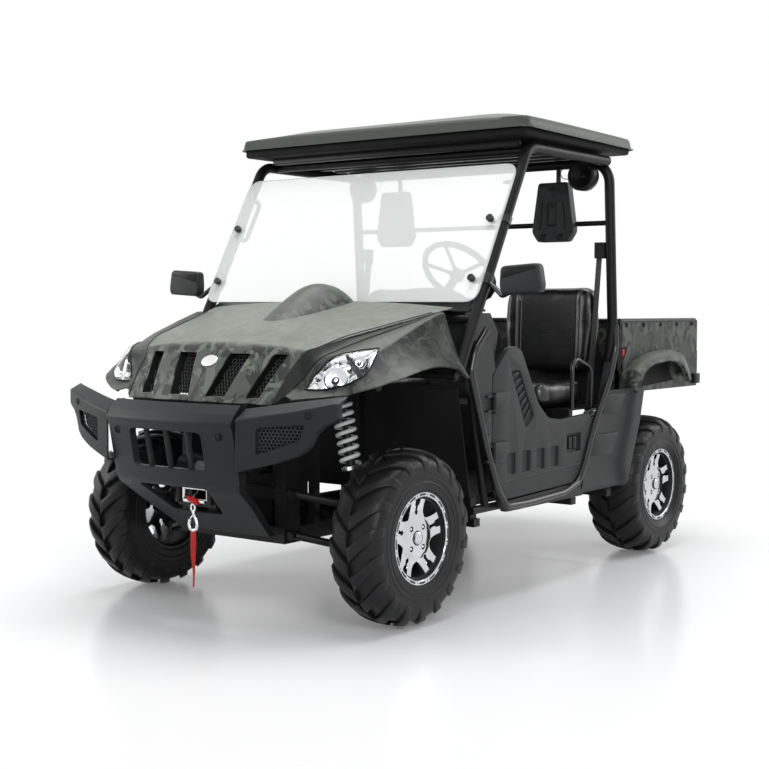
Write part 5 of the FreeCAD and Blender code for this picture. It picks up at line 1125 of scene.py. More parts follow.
WING_LOW = ((0.315, 0.575), (0.329, 0.579), (0.457, 0.613), (0.530, 0.640), (0.560, 0.662), (0.585, 0.712),
            (0.612, 0.740), (0.640, 0.752), (0.661, 0.765))
WING_MESH = ((0.390, 0.632), (0.542, 0.686), (0.562, 0.745), (0.390, 0.728))
BUMPER_GREY = (0.0165, 0.0178, 0.0190)

bumper_grey = moulded_paint("bumper_grey", BUMPER_GREY, 0.40, 900.0, 0.00022, 0.30, 7.0)


def sag(x):
    """How far the bumper's bend lies behind its foremost point at a place across it."""
    return x * x / (2 * BUMPER_RADIUS)


def plate_place(x, v, back=0.0):
    """A point of the centre plate, on the bumper's bend."""
    depth = between([(row[0], row[1]) for row in PLATE_PROFILE], v)
    height = between([(row[0], row[2]) for row in PLATE_PROFILE], v)
    return Vector((x, BUMPER_FRONT + depth + sag(x) + back, height))


def plate_form(u, v):
    """The centre plate's face, with both edges curled back."""
    side = 2 * u - 1
    half = between(PLATE_HALF, plate_place(0, v).z)
    curl = max(abs(side) - 0.95, 0) / 0.05
    return plate_place(math.copysign(min(abs(side) / 0.95, 1), side) * half, v, 0.034 * curl)


def frame_loop(corners, radius):
    """A rounded outline in the bumper's front view, as points in front of it."""
    return [Vector((point.x, BUMPER_FRONT - 0.03, point.z))
            for point in rounded_loop([(x, 0, z) for x, z in corners], radius)]


def depth_at(z):
    """How far the centre plate lies behind its foremost line at a height."""
    rows = [(row[2], row[1]) for row in reversed(PLATE_PROFILE)]
    return between(rows, z)


OPENING = [(-0.178, 0.565), (0.178, 0.565), (0.178, 0.704), (-0.178, 0.704)]
MOUTH = [(-0.122, 0.393), (0.122, 0.393), (0.172, 0.504), (-0.172, 0.504)]
plate = formed_sheet(80, 90, plate_form)
outward(plate)
walled(plate, 0.006)
opening_loop = frame_loop(OPENING, 0.022)
mouth_loop = frame_loop(MOUTH, 0.018)
outward(plate)
carve(plate, prism(opening_loop, (0, 0.25, 0)), prism(mouth_loop, (0, 0.35, 0)))
soften(plate, 0.002, 2, 42)
parts = [paint_on(plate, bumper_grey, painted_shade_black)]
# Painted shade: the plate's curled side walls, in the groove by each wing, are near-black for the shade
# there.
for polygon in plate.data.polygons:
    polygon.material_index = 1 if abs(polygon.normal.x) > 0.8 and abs(polygon.center.x) > 0.215 else 0
for loop, reach in ((opening_loop, 0.030), (mouth_loop, 0.022)):
    edge = [Vector((point.x, BUMPER_FRONT + depth_at(point.z) + sag(point.x) - 0.0035, point.z))
            for point in loop]
    parts.append(paint_on(smooth(ring_wall(edge, (0, reach, 0), 0.005), 40), bumper_grey))
for place in (-0.1, 0.0, 0.1):
    def fin_form(u, v, place=place):
        """One upright bar of the opening, oval in section."""
        z = 0.560 + 0.149 * v
        y = BUMPER_FRONT + depth_at(z) + sag(place) + 0.006 + 0.024 * (1 - math.cos(2 * math.pi * u)) / 2
        return Vector((place + (z - 0.635) * place * 0.22 + 0.0085 * math.sin(2 * math.pi * u), y, z))

    fin = formed_sheet(12, 6, fin_form)
    parts.append(paint_on(smooth(outward(fin), 40), bumper_grey))


def wing_form(u, v):
    """The bumper's left wing: a lower edge turned back, a plain face and a folded top."""
    x = 0.3165 + 0.3445 * min(u / 0.97, 1)
    low, fold, top = between(WING_LOW, x), between(WING_FOLD, x), between(WING_TOP, x)
    curl = max(u - 0.97, 0) / 0.03
    if v < 0.07:
        return Vector((x, WING_FRONT + sag(x) + 0.030 - 0.030 * v / 0.07 + 0.02 * curl, low))
    if v < 0.72:
        t = (v - 0.07) / 0.65
        return Vector((x, WING_FRONT + sag(x) + 0.02 * curl, low + (fold - low) * t))
    t = (v - 0.72) / 0.28
    return Vector((x, WING_FRONT + sag(x) + 0.050 * t + 0.02 * curl * (1 - t), fold + (top - fold) * t))


wing = formed_sheet(70, 56, wing_form)
outward(wing)
walled(wing, 0.006)
outward(wing)
mesh_loop = frame_loop(WING_MESH, 0.014)
carve(wing, prism(mesh_loop, (0, 0.30, 0)))
soften(wing, 0.002, 2, 42)
mesh_edge = [Vector((point.x, WING_FRONT + sag(point.x) - 0.0035, point.z)) for point in mesh_loop]
wing_parts = [paint_on(wing, bumper_grey),
              paint_on(smooth(ring_wall(mesh_edge, (0, 0.024, 0), 0.004), 40), bumper_grey)]
net = honeycomb([(point.x, point.z) for point in mesh_loop], 0.0135, 0.0028,
                lambda x, z: Vector((x, WING_FRONT + sag(x) + 0.013, z)))
wing_parts.append(paint_on(net, mesh_grey_painted_sheen))


def pan_form(u, v):
    """The sheet behind the wing's mesh, painted near-black for the shade behind it."""
    x = 0.37 + 0.21 * u
    return Vector((x, WING_FRONT + sag(x) + 0.026, 0.62 + 0.13 * v))


pan = formed_sheet(10, 2, pan_form)
walled(pan, 0.002)
tool = prism(mesh_loop, (0, 0.30, 0))
apply_modifier(pan, "BOOLEAN", object=tool, operation="INTERSECT", solver="EXACT")
bpy.data.objects.remove(tool)
wing_parts.append(paint_on(pan, painted_shade_black))
# Painted shade: a near-black sheet at the back of the groove between plate and wing.
groove = formed_sheet(2, 12, lambda u, v: plate_place(0.288 + 0.044 * u, 0.03 + 0.48 * v, 0.030))
walled(groove, 0.002)
wing_parts.append(paint_on(outward(groove), painted_shade_black))


def cap_screw(place, radius, direction):
    """A black socket screw sunk in a counterbore painted near-black as shade, pointing along a direction."""
    ring = turned([(-0.004, radius * 1.45), (0.0022, radius * 1.45), (0.0026, radius * 1.3),
                   (0.0008, radius * 1.1), (-0.002, radius * 1.02), (-0.002, 0.0004)], 28)
    paint_on(ring, painted_shade_black)
    head = turned([(-0.002, radius * 0.8), (0.0005, radius * 0.8), (0.0012, radius * 0.7),
                   (0.0012, radius * 0.4), (-0.002, radius * 0.36), (-0.002, 0.0004)], 24)
    paint_on(head, trim_black)
    return smooth(aimed(joined(ring, head), place, direction), 40)


wing_parts.append(cap_screw((0.570, WING_FRONT + sag(0.570) - 0.003, 0.772), 0.0085, (0.4, -1, 0)))
for x in (-0.249, 0.249):
    parts.append(cap_screw((x, BUMPER_FRONT + depth_at(0.690) + sag(x) - 0.004, 0.690), 0.0095,
                           (0, -1, -0.1)))
wings = both_sides(joined(*wing_parts))
fix(joined(*parts, wings), "bull_bar", "vehicle", "cab_plastic", None, "bumper")


def repaint(paint, *names):
    """Give a new material to nodes of the frame whose shape is kept."""
    for name in names:
        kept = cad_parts[name]
        for slot in kept.material_slots:
            slot.material = paint


# Winch
# An electric winch in black, with its drum of grey rope between a motor and a gear end, a roller fairlead in
# the bumper's mouth, a red stop tab on the rope, and a forged hook with its latch, all in bright steel.
WINCH_Y = -1.286
WINCH_Z = 0.537
WINCH_PLACE = (0, WINCH_Y, WINCH_Z)
FAIRLEAD_Y = -1.355
FAIRLEAD_Z = 0.461
ROPE_STEEL = (0.42, 0.42, 0.43)
TAB_RED = (0.60, 0.018, 0.014)

winch_black = moulded_paint("winch_black", (0.016, 0.016, 0.017), 0.34, 800.0, 0.0001)
frame_black = moulded_paint("frame_black", (0.0075, 0.0075, 0.008), 0.38, 600.0, 0.00012, 0.5, 6.0)
steel_bright = moulded_paint("steel_bright", (0.70, 0.70, 0.71), 0.22, 300.0, 0.00005, 0.25, 20.0,
                             metallic=1.0)
rope_steel = moulded_paint("rope_steel", ROPE_STEEL, 0.35, 1500.0, 0.0002, 0.5, 30.0, metallic=0.8)
tab_red = moulded_paint("tab_red", TAB_RED, 0.42, 500.0, 0.0001, 0.3, 20.0)


def bar(points, radius, bend=0.05, closed=False, sides=6, steps=8):
    """A round bar on a bent path, as a mesh, with its corners eased over a length."""
    route = [Vector(point) for point in points]
    if not closed:
        eased = [route[0]]
        for before, corner, after in zip(route, route[1:], route[2:]):
            reach = min(bend, (before - corner).length * 0.48, (after - corner).length * 0.48)
            eased += [corner + (before - corner).normalized() * reach, corner,
                      corner + (after - corner).normalized() * reach]
        route = eased + [route[-1]]
    curve = bpy.data.curves.new("bar", "CURVE")
    curve.dimensions = "3D"
    spline = curve.splines.new("NURBS")
    spline.points.add(len(route) - 1)
    for point, place in zip(spline.points, route):
        point.co = (*place, 1)
    spline.order_u = 3
    spline.use_endpoint_u = not closed
    spline.use_cyclic_u = closed
    spline.resolution_u = steps
    curve.bevel_depth = radius
    curve.bevel_resolution = sides
    curve.use_fill_caps = True
    line = bpy.data.objects.new("bar", curve)
    bpy.context.collection.objects.link(line)
    mesh = bpy.data.meshes.new_from_object(line)
    bpy.data.objects.remove(line)
    made = bpy.data.objects.new("bar", mesh)
    bpy.context.collection.objects.link(made)
    return smooth(outward(made), 50)


def slab(low, high, edge=0.003, segments=2):
    """A block between two corners with softened edges."""
    low, high = Vector(low), Vector(high)
    form = prism([(low.x, low.y, low.z), (high.x, low.y, low.z), (high.x, high.y, low.z),
                  (low.x, high.y, low.z)], (0, 0, high.z - low.z))
    return soften(form, edge, segments, 30)


def spun(profile, count, centre, axis):
    """A form turned about an axis through a centre."""
    return smooth(aimed(turned(profile, count), centre, axis), 35)


ends = [(-0.125, 0.001), (-0.125, 0.052), (-0.119, 0.060), (-0.070, 0.061), (-0.066, 0.058), (-0.060, 0.058),
        (-0.056, 0.061), (-0.050, 0.061), (-0.048, 0.030)]
motor = spun(ends, 40, WINCH_PLACE, (1, 0, 0))
gears = spun(ends, 40, WINCH_PLACE, (-1, 0, 0))
wound = [(-0.048, 0.002)]
for turn in range(16):
    x = -0.048 + 0.006 * turn
    wound += [(x, 0.040), (x + 0.0015, 0.0435), (x + 0.0045, 0.0435)]
wound += [(0.048, 0.040), (0.048, 0.002)]
rope = paint_on(spun(wound, 32, WINCH_PLACE, (1, 0, 0)), rope_steel)
ties = [slab((-0.060, WINCH_Y - 0.066, WINCH_Z + 0.045), (0.060, WINCH_Y - 0.050, WINCH_Z + 0.060), 0.002),
        slab((-0.110, WINCH_Y - 0.050, 0.4705), (0.110, WINCH_Y + 0.050, 0.4785), 0.002)]
body = paint_on(joined(motor, gears, *ties), winch_black)
plate_outline = rounded_loop([(-0.095, 0, 0.415), (0.095, 0, 0.415), (0.095, 0, 0.507), (-0.095, 0, 0.507)],
                             0.010)
lead = prism([point + Vector((0, FAIRLEAD_Y - 0.002, 0)) for point in plate_outline], (0, 0.012, 0))
window = rounded_loop([(-0.058, 0, 0.436), (0.058, 0, 0.436), (0.058, 0, 0.486), (-0.058, 0, 0.486)], 0.006)
carve(lead, prism([point + Vector((0, FAIRLEAD_Y - 0.05, 0)) for point in window], (0, 0.1, 0)))
paint_on(soften(lead, 0.0015, 2), winch_black)
rollers = []
for height in (-0.0235, 0.0235):
    rollers.append(paint_on(spun([(-0.052, 0.001), (-0.052, 0.0075), (-0.050, 0.0090), (0.050, 0.0090),
                                  (0.052, 0.0075), (0.052, 0.001)], 28,
                                 (0, FAIRLEAD_Y - 0.013, FAIRLEAD_Z + height), (1, 0, 0)), bare_silver))
for side in (-1, 1):
    rollers.append(paint_on(spun([(-0.022, 0.0085), (0.022, 0.0085)], 24,
                                 (side * 0.060, FAIRLEAD_Y - 0.006, FAIRLEAD_Z), (0, 0, 1)), steel_bright))
    rollers.append(paint_on(slab((side * 0.0785 - 0.010, FAIRLEAD_Y - 0.024, FAIRLEAD_Z - 0.034),
                                 (side * 0.0785 + 0.010, FAIRLEAD_Y - 0.001, FAIRLEAD_Z + 0.034), 0.003),
                            winch_black))
lead_out = paint_on(bar([(0, WINCH_Y - 0.045, WINCH_Z - 0.01), (0, FAIRLEAD_Y, FAIRLEAD_Z + 0.004),
                         (0, FAIRLEAD_Y - 0.018, FAIRLEAD_Z - 0.004), (0, HOOK_Y, 0.437)], 0.0028, 0.01),
                    rope_steel)
fix(joined(body, rope, lead, *rollers, lead_out), "winch_unit", "vehicle", "winch_metal", None, "winch")

tab_outline = rounded_loop([(-0.030, 0, 0.455), (0.022, 0, 0.448), (0.028, 0, 0.424), (0.006, 0, 0.430),
                            (-0.022, 0, 0.436)], 0.005)
tab = prism([point + Vector((0, -1.3835, 0)) for point in tab_outline], (0, 0.012, 0))
fix(paint_on(soften(tab, 0.0015, 2), tab_red), "rope_stop", "vehicle", "strap_fabric", None)
eye = bar([(0.011 * math.sin(turn), HOOK_Y, 0.413 + 0.014 * math.cos(turn))
           for turn in (0, 1.05, 2.09, 3.14, 4.19, 5.24)], 0.0042, closed=True)
shank = [(0.0, HOOK_Y, 0.402), (0.003, HOOK_Y, 0.392), (0.014, HOOK_Y, 0.374), (0.021, HOOK_Y, 0.354),
         (0.016, HOOK_Y, 0.336), (0.0, HOOK_Y, 0.3295), (-0.015, HOOK_Y, 0.337), (-0.0205, HOOK_Y, 0.353),
         (-0.0150, HOOK_Y, 0.371)]
claw = bar(shank, 0.0062, 0.01)
latch = bar([(0.004, HOOK_Y, 0.388), (-0.008, -1.3800, 0.376), (-0.015, -1.3780, 0.366)], 0.0025, 0.006)
fix(paint_on(joined(eye, claw, latch), steel_bright), "forged_hook", "vehicle", "hook_metal", None,
    "winch_hook")


# Frame and running gear
# Welded box rails and tubes in black powder coat, with a pressed skid plate under them. The wishbones, the
# knuckles, the shafts and the engine block are painted black as well, and the floor is a grained moulding.
floor_black = moulded_paint("floor_black", (0.010, 0.010, 0.011), 0.50, 300.0, 0.0006, 0.3, 8.0)
repaint(frame_black, "chassis_frame", "skid_plate", "suspension_arms", "knuckle_left", "knuckle_right",
        "rear_knuckles", "hitch_receiver", "cage_front", "cage_rear", "steering_column", "driveline",
        "engine_block")
repaint(floor_black, "floor_pan")


# Doors
# Hollow half doors in grained dark plastic, with a rounded tab at the top. Each has a slanted vent with
# louvres, a sunk latch handle, four sunk ribs and a crease moulded in, and swings on two hinges with raised
# bosses.
SIDE_X = 0.702
DOOR_INNER = 0.677
CAB_FRONT = -0.642
CAB_LENGTH = 1.388
SILL_Z = 0.344
CAB_HEIGHT = 0.666
DOOR_SHARES = ((0.114, 0.796), (0.114, 0.285), (0.142, 0.134), (0.184, 0.071), (0.563, 0.092),
               (0.604, 0.143), (0.684, 0.470), (0.666, 0.515), (0.494, 0.498), (0.418, 0.518),
               (0.361, 0.610), (0.305, 0.799), (0.265, 0.934), (0.227, 0.964), (0.192, 0.946))
VENT = [(-0.350, 0.889), (-0.290, 0.889), (-0.178, 0.704), (-0.239, 0.659)]
LATCH = [(0.090, 0.611), (0.206, 0.611), (0.206, 0.535), (0.090, 0.535)]
RIB_PLACES = (-0.380, -0.268, -0.156, -0.044)
MIRRORED = Matrix.Scale(-1, 4, (1, 0, 0))

side_grey = moulded_paint("side_grey", (0.0220, 0.0230, 0.0240), 0.34, 750.0, 0.0003, 0.35, 6.0)


def side_prism(corners, inner, outer, radius=0.0):
    """A shape drawn on the vehicle's side as (y, z), between two distances from its middle."""
    loop = [(inner, y, z) for y, z in corners]
    return prism(rounded_loop(loop, radius) if radius else [Vector(point) for point in loop],
                 (outer - inner, 0, 0))


door = side_prism([(CAB_FRONT + y * CAB_LENGTH, SILL_Z + z * CAB_HEIGHT) for y, z in DOOR_SHARES],
                  DOOR_INNER, SIDE_X, 0.018)
ribs = [side_prism([(y, 0.570), (y + 0.062, 0.570), (y + 0.062, 0.487), (y, 0.487)], SIDE_X - 0.009, 0.75,
                   0.006) for y in RIB_PLACES]
carve(door, side_prism(VENT, SIDE_X - 0.010, 0.75, 0.010), side_prism(LATCH, SIDE_X - 0.014, 0.75, 0.008),
      *ribs)
soften(door, 0.0035, 3, 35)
door_parts = [paint_on(door, side_grey)]
for index in range(7):
    t = (index + 0.7) / 7.6
    low = Vector((0, VENT[0][0], VENT[0][1])).lerp(Vector((0, VENT[3][0], VENT[3][1])), t)
    high = Vector((0, VENT[1][0], VENT[1][1])).lerp(Vector((0, VENT[2][0], VENT[2][1])), t)
    slat = prism([(SIDE_X - 0.011, low.y + 0.006, low.z), (SIDE_X - 0.011, high.y - 0.010, high.z),
                  (SIDE_X - 0.011, high.y - 0.010, high.z + 0.013),
                  (SIDE_X - 0.011, low.y + 0.006, low.z + 0.010)], (0.0085, 0, 0))
    door_parts.append(paint_on(soften(slat, 0.003, 2), side_grey))
# Painted shade: the sunk latch handle's recess is lined near-black for the shade in it.
door_parts.append(paint_on(side_prism([(0.10, 0.602), (0.196, 0.602), (0.196, 0.544), (0.10, 0.544)],
                                      SIDE_X - 0.015, SIDE_X - 0.0125, 0.006), painted_shade_black))
for y in (0.112, 0.150):
    door_parts.append(paint_on(slab((SIDE_X - 0.014, y, 0.549), (SIDE_X - 0.004, y + 0.028, 0.598), 0.003),
                               trim_black))
crease = bar([(SIDE_X - 0.001, -0.452, 0.461), (SIDE_X - 0.001, 0.203, 0.480)], 0.0035)
door_parts.append(paint_on(crease, side_grey))
for height in (0.7705, 0.5795):
    boss = side_prism([(-0.482, height + 0.040), (-0.372, height + 0.040), (-0.372, height + 0.005),
                       (-0.415, height - 0.040), (-0.482, height - 0.040)], SIDE_X - 0.002, SIDE_X + 0.011,
                      0.008)
    soften(boss, 0.003, 2)
    barrel = spun([(-0.023, 0.001), (-0.023, 0.0078), (-0.0215, 0.009), (0.0215, 0.009), (0.023, 0.0078),
                   (0.023, 0.001)], 24, (0.711, -0.4868, height), (0, 0, 1))
    door_parts += [paint_on(boss, side_grey), paint_on(barrel, trim_black)]
left_door = joined(*door_parts)
right_door = copied(left_door, MIRRORED)
fix(left_door, "door_skin_left", "door_left", "cab_plastic", None, "door_left")
fix(right_door, "door_skin_right", "door_right", "cab_plastic", None, "door_right")


# Kick panels, sill tubes and rear quarters
# The fixed panels round the door are moulded in the same plastic, with raised ribs in front and two raised
# pads behind. A bright black tube of the cage runs down in front of the door, under it and up behind it.
TUBE_ROUTE = ((-0.530, 1.050), (-0.612, 0.975), (-0.640, 0.892), (-0.600, 0.789), (-0.528, 0.601),
              (-0.452, 0.440), (-0.385, 0.366), (-0.231, 0.362), (0.067, 0.371), (0.187, 0.405),
              (0.240, 0.478), (0.312, 0.619), (0.461, 0.834), (0.510, 0.957), (0.506, 1.06))

gloss_black = moulded_paint("gloss_black", (0.010, 0.010, 0.011), 0.20, 500.0, 0.00005, 0.3, 10.0,
                            specular=0.5)
repaint(side_grey, "side_panels")
hoop = bar([(SIDE_X + 0.001, y, z) for y, z in TUBE_ROUTE], 0.0150, 0.06)
kick_parts = [paint_on(hoop, gloss_black)]
for low, high in ((0.700, 0.735), (0.615, 0.650), (0.530, 0.560)):
    front = -0.585 + (0.80 - high) * 0.36
    pad = side_prism([(front, high), (-0.512, high + 0.010), (-0.512, low), (front + 0.020, low - 0.006)],
                     SIDE_X - 0.002, SIDE_X + 0.007, 0.006)
    kick_parts.append(paint_on(soften(pad, 0.003, 2), side_grey))
fix(both_sides(joined(*kick_parts)), "sill_tubes", "vehicle", "cab_plastic", None)


def quarter_form(u, v):
    """The rear quarter's outer face, flared out towards the wheel."""
    z = 0.352 + 0.425 * v
    front = between(((0.352, 0.215), (0.47, 0.232), (0.62, 0.330), (0.777, 0.437)), z)
    rear = between(((0.352, 0.588), (0.40, 0.600), (0.63, 0.701), (0.777, 0.742)), z)
    t = min(u / 0.95, 1)
    y = front + (rear - front) * t
    start = between(((0.352, 0.95), (0.45, 0.76), (0.777, 0.70)), z)
    step = 1 / (1 + math.exp(-(t - start) * 34))
    out = 0.704 + 0.024 * step - (0.030 if u > 0.951 else 0) - 0.012 * max(0.05 - v, 0) / 0.05
    return Vector((out, y, z))


quarter = formed_sheet(60, 30, quarter_form)
outward(quarter)
walled(quarter, 0.004)
quarter_parts = [paint_on(smooth(outward(quarter), 30), side_grey)]
for corners in ([(0.423, 0.762), (0.592, 0.760), (0.520, 0.677), (0.368, 0.678)],
                [(0.312, 0.590), (0.526, 0.592), (0.462, 0.503), (0.258, 0.502)]):
    pad = side_prism(corners, 0.690, 0.7160, 0.008)
    quarter_parts.append(paint_on(soften(pad, 0.004, 2), side_grey))
fix(both_sides(joined(*quarter_parts)), "quarter_skins", "vehicle", "cab_plastic", None, "rear_quarters")


# Cargo box, tailgate and tail lamps
# A moulded box in the camouflage, with black rails bolted on its rim, a flared arch over each rear wheel, an
# open handhold with a red reflector and a ribbed floor. The gate has three sunk panels and swings on two
# hinges at its foot, and a red lamp is screwed to each corner post.
BOX_HALF = 0.645
BOX_FRONT = 0.666
BOX_REAR = 1.492
BOX_FLOOR = 0.752
BOX_RAIL = 1.087
FLARE_TOP = ((0.662, 0.770), (0.674, 0.800), (0.700, 0.838), (0.770, 0.885), (0.900, 0.922), (1.060, 0.938),
             (1.200, 0.936), (1.290, 0.915), (1.345, 0.870), (1.375, 0.800))
ARCH_SHAPE = ((0.655, 0.760), (0.690, 0.795), (0.732, 0.846), (0.780, 0.868), (0.833, 0.882), (0.983, 0.893),
              (1.090, 0.884), (1.140, 0.866), (1.175, 0.835), (1.215, 0.790))

bed_paint = camo_paint("bed_camouflage", 0.42, 0.30, 13.0)
rail_black = moulded_paint("rail_black", (0.011, 0.011, 0.012), 0.30, 600.0, 0.0001)
box_parts = [slab((-BOX_HALF, BOX_FRONT, BOX_FLOOR), (BOX_HALF, BOX_FRONT + 0.026, BOX_RAIL - 0.02), 0.004),
             slab((-BOX_HALF + 0.01, BOX_FRONT + 0.01, BOX_FLOOR),
                  (BOX_HALF - 0.01, BOX_REAR - 0.046, BOX_FLOOR + 0.02), 0.003)]
wall = side_prism([(BOX_FRONT, BOX_FLOOR), (BOX_REAR, BOX_FLOOR), (BOX_REAR, BOX_RAIL - 0.012),
                   (BOX_FRONT, BOX_RAIL - 0.012)], BOX_HALF - 0.024, BOX_HALF, 0.006)
post = slab((BOX_HALF - 0.082, BOX_REAR - 0.036, BOX_FLOOR), (BOX_HALF - 0.001, BOX_REAR, BOX_RAIL - 0.014),
            0.004)
pair = joined(wall, post)
box_parts += [copied(pair, MIRRORED), pair]
for index in range(9):
    x = -0.48 + 0.12 * index
    box_parts.append(slab((x - 0.012, BOX_FRONT + 0.05, BOX_FLOOR + 0.018),
                          (x + 0.012, BOX_REAR - 0.07, BOX_FLOOR + 0.026), 0.003))
shell = paint_on(joined(*box_parts), bed_paint)


def along(line, share):
    """The place at a share of a line of points, with the same share between each two."""
    return [between([(index / (len(line) - 1), point[axis]) for index, point in enumerate(line)], share)
            for axis in (0, 1)]


def flare_form(u, v):
    """The flare's concave face, from the arch's edge over the wheel to its root on the box."""
    arch = Vector((0, *along(ARCH_SHAPE, v)))
    root = Vector((0, *along(FLARE_TOP, v)))
    if u < 0.12:
        return Vector((0.715 + 0.022 * u / 0.12, arch.y, arch.z - 0.001))
    t = (u - 0.12) / 0.88
    place = arch.lerp(root, t)
    return Vector((0.737 - 0.089 * t ** 1.25, place.y, place.z + 0.012 * math.sin(t * math.pi)))


flare = formed_sheet(26, 60, flare_form)
outward(flare)
walled(flare, 0.004)
side_parts = [paint_on(smooth(outward(flare), 32), bed_paint)]
side_parts.append(paint_on(bar([(BOX_HALF - 0.012, BOX_FRONT + 0.01, BOX_RAIL - 0.014),
                                (BOX_HALF - 0.012, BOX_REAR - 0.012, BOX_RAIL - 0.014)], 0.0135, sides=5),
                           rail_black))
for index in range(5):
    place = (BOX_HALF + 0.0008, BOX_FRONT + 0.06 + 0.175 * index, BOX_RAIL - 0.030)
    side_parts.append(cap_screw(place, 0.0065, (1, 0, 0)))
# Painted shade: the open handhold is a near-black plate, for the shade through the hole.
side_parts.append(paint_on(side_prism([(0.665, 0.957), (0.735, 0.957), (0.710, 0.915), (0.640, 0.850),
                                       (0.640, 0.93)], 0.640, BOX_HALF + 0.003, 0.008), painted_shade_black))
side_parts.append(paint_on(slab((BOX_HALF, 0.682, 0.918), (BOX_HALF + 0.006, 0.700, 0.948), 0.002), tab_red))
side_parts.append(paint_on(slab((BOX_HALF - 0.02, BOX_REAR - 0.062, BOX_FLOOR + 0.012),
                                (BOX_HALF + 0.022, BOX_REAR - 0.002, BOX_FLOOR + 0.062), 0.006), rail_black))
# Painted shade: a near-black plate over the box wall inside each arch, for the shade under the flare.
side_parts.append(paint_on(side_prism(list(ARCH_SHAPE), BOX_HALF - 0.001, BOX_HALF + 0.004), painted_shade_black))
front_rail = bar([(-BOX_HALF + 0.012, BOX_FRONT + 0.012, BOX_RAIL - 0.014),
                  (BOX_HALF - 0.012, BOX_FRONT + 0.012, BOX_RAIL - 0.014)], 0.0135, sides=5)
hinge_lugs = [slab((side * 0.2805 - 0.018, 1.312, 0.715), (side * 0.2805 + 0.018, 1.348, BOX_FLOOR + 0.004),
                   0.003) for side in (-1, 1)]
lower = paint_on(joined(front_rail, *hinge_lugs), rail_black)
fix(joined(shell, both_sides(joined(*side_parts)), lower), "bed_moulding", "cargo_bed", "camouflage", None,
    "cargo_box")

gate = slab((-0.557, 1.459, 0.754), (0.557, 1.491, 1.052), 0.005, 3)
for low, high in ((-0.50, -0.18), (-0.14, 0.14), (0.18, 0.50)):
    panel = prism(rounded_loop([(low, 1.484, 0.80), (high, 1.484, 0.80), (high, 1.484, 1.00),
                                (low, 1.484, 1.00)], 0.02), (0, 0.03, 0))
    carve(gate, panel)
soften(gate, 0.003, 2, 40)
handle = slab((-0.07, 1.484, 1.012), (0.07, 1.4915, 1.040), 0.003)
gate_parts = [paint_on(gate, bed_paint), paint_on(handle, rail_black)]
for side in (-1, 1):
    gate_parts.append(paint_on(spun([(-0.030, 0.001), (-0.030, 0.0085), (0.030, 0.0085), (0.030, 0.001)], 20,
                                    (side * 0.380, 1.475, 0.740), (1, 0, 0)), rail_black))
    gate_parts.append(paint_on(slab((side * 0.380 - 0.028, 1.468, 0.742),
                                    (side * 0.380 + 0.028, 1.482, 0.758), 0.002), rail_black))
fix(joined(*gate_parts), "gate_moulding", "tailgate", "camouflage", None, "tailgate")

lamp_body = slab((0.577, 1.4925, 0.780), (0.643, 1.506, 0.926), 0.006, 3)
lamp_lens = slab((0.583, 1.500, 0.786), (0.637, 1.5155, 0.920), 0.007, 3)
tail_red = moulded_paint("tail_red", (0.42, 0.008, 0.006), 0.12, 180.0, 0.0004, 0.3, 30.0, 0.08,
                         specular=0.6, coat=0.6, coat_roughness=0.06)
tails = joined(paint_on(lamp_body, rail_black), paint_on(lamp_lens, tail_red))
fix(both_sides(tails), "tail_lights", "cargo_bed", "lamp_red", None, "tail_lamps")


# Roof
# A vacuum-formed plastic roof in satin grey green: a rolled lip, a low side face and a broad raised middle.
# A lining with black ribs is screwed up inside it, its sheet painted near-black as the shade under the
# roof, and a black cap lies on the top at the back.
ROOF_HALF = 0.752
ROOF_FRONT = -0.329
ROOF_REAR = 0.595
ROOF_LIP = 1.820
ROOF_CORNER = 0.050

roof_paint = moulded_paint("roof_satin", (0.056, 0.062, 0.056), 0.34, 300.0, 0.0002, 0.25, 3.0)


def rise(distance, reach):
    """A height that grows from nothing to one over a distance, then stays."""
    return math.sin(max(0.0, min(distance / reach, 1.0)) * math.pi / 2)


def spread(share):
    """A share moved towards its nearer end, for closer lines at both edges."""
    return 0.5 - 0.5 * math.cos(share * math.pi)


def roof_form(u, v):
    """The roof's outer face, in plan a rectangle with rounded corners."""
    y = ROOF_FRONT + (ROOF_REAR - ROOF_FRONT) * spread(v)
    ends = min(y - ROOF_FRONT, ROOF_REAR - y)
    short = max(ROOF_CORNER - ends, 0)
    half = ROOF_HALF - ROOF_CORNER + math.sqrt(max(ROOF_CORNER ** 2 - short ** 2, 0))
    x = half * (2 * spread(u) - 1)
    side = half - abs(x)
    lip = 0.042 * rise(min(side, ends) - 0.009, 0.016)
    lip += 0.012 * (1 - v)
    crown = 0.060 * rise(side - 0.02, 0.30) * rise(y - ROOF_FRONT, 0.34) * rise(ROOF_REAR - y, 0.34)
    return Vector((x, y, ROOF_LIP + lip + crown))


roof = formed_sheet(96, 72, roof_form)
outward(roof)
walled(roof, 0.004, -1.0)
smooth(roof, 40)
# Painted shade: the lining under the roof is near-black for the shade there.
lining = slab((-0.728, -0.306, 1.796), (0.728, 0.572, 1.836), 0.012, 3)
roof_parts = [paint_on(roof, roof_paint), paint_on(lining, painted_shade_black)]
for index in range(7):
    y = -0.22 + 0.11 * index
    roof_parts.append(paint_on(slab((-0.64, y, 1.768), (0.64, y + 0.035, 1.802), 0.006), rail_black))
cap = slab((-0.34, 0.10, 1.880), (0.34, 0.40, 1.933), 0.012, 3)
roof_parts.append(paint_on(cap, rail_black))
fix(joined(*roof_parts), "roof_shell", "vehicle", "cab_plastic", None, "roof")


# Head boards and speakers
# Each head board is a black moulding, wider below, with a raised disc, a slot and small windows, and hangs
# from the cage on a stem. The speakers are round black cups with a cone, clamped under the roof beside them.
BOARD_X = 0.434
BOARD_Y = 0.4195

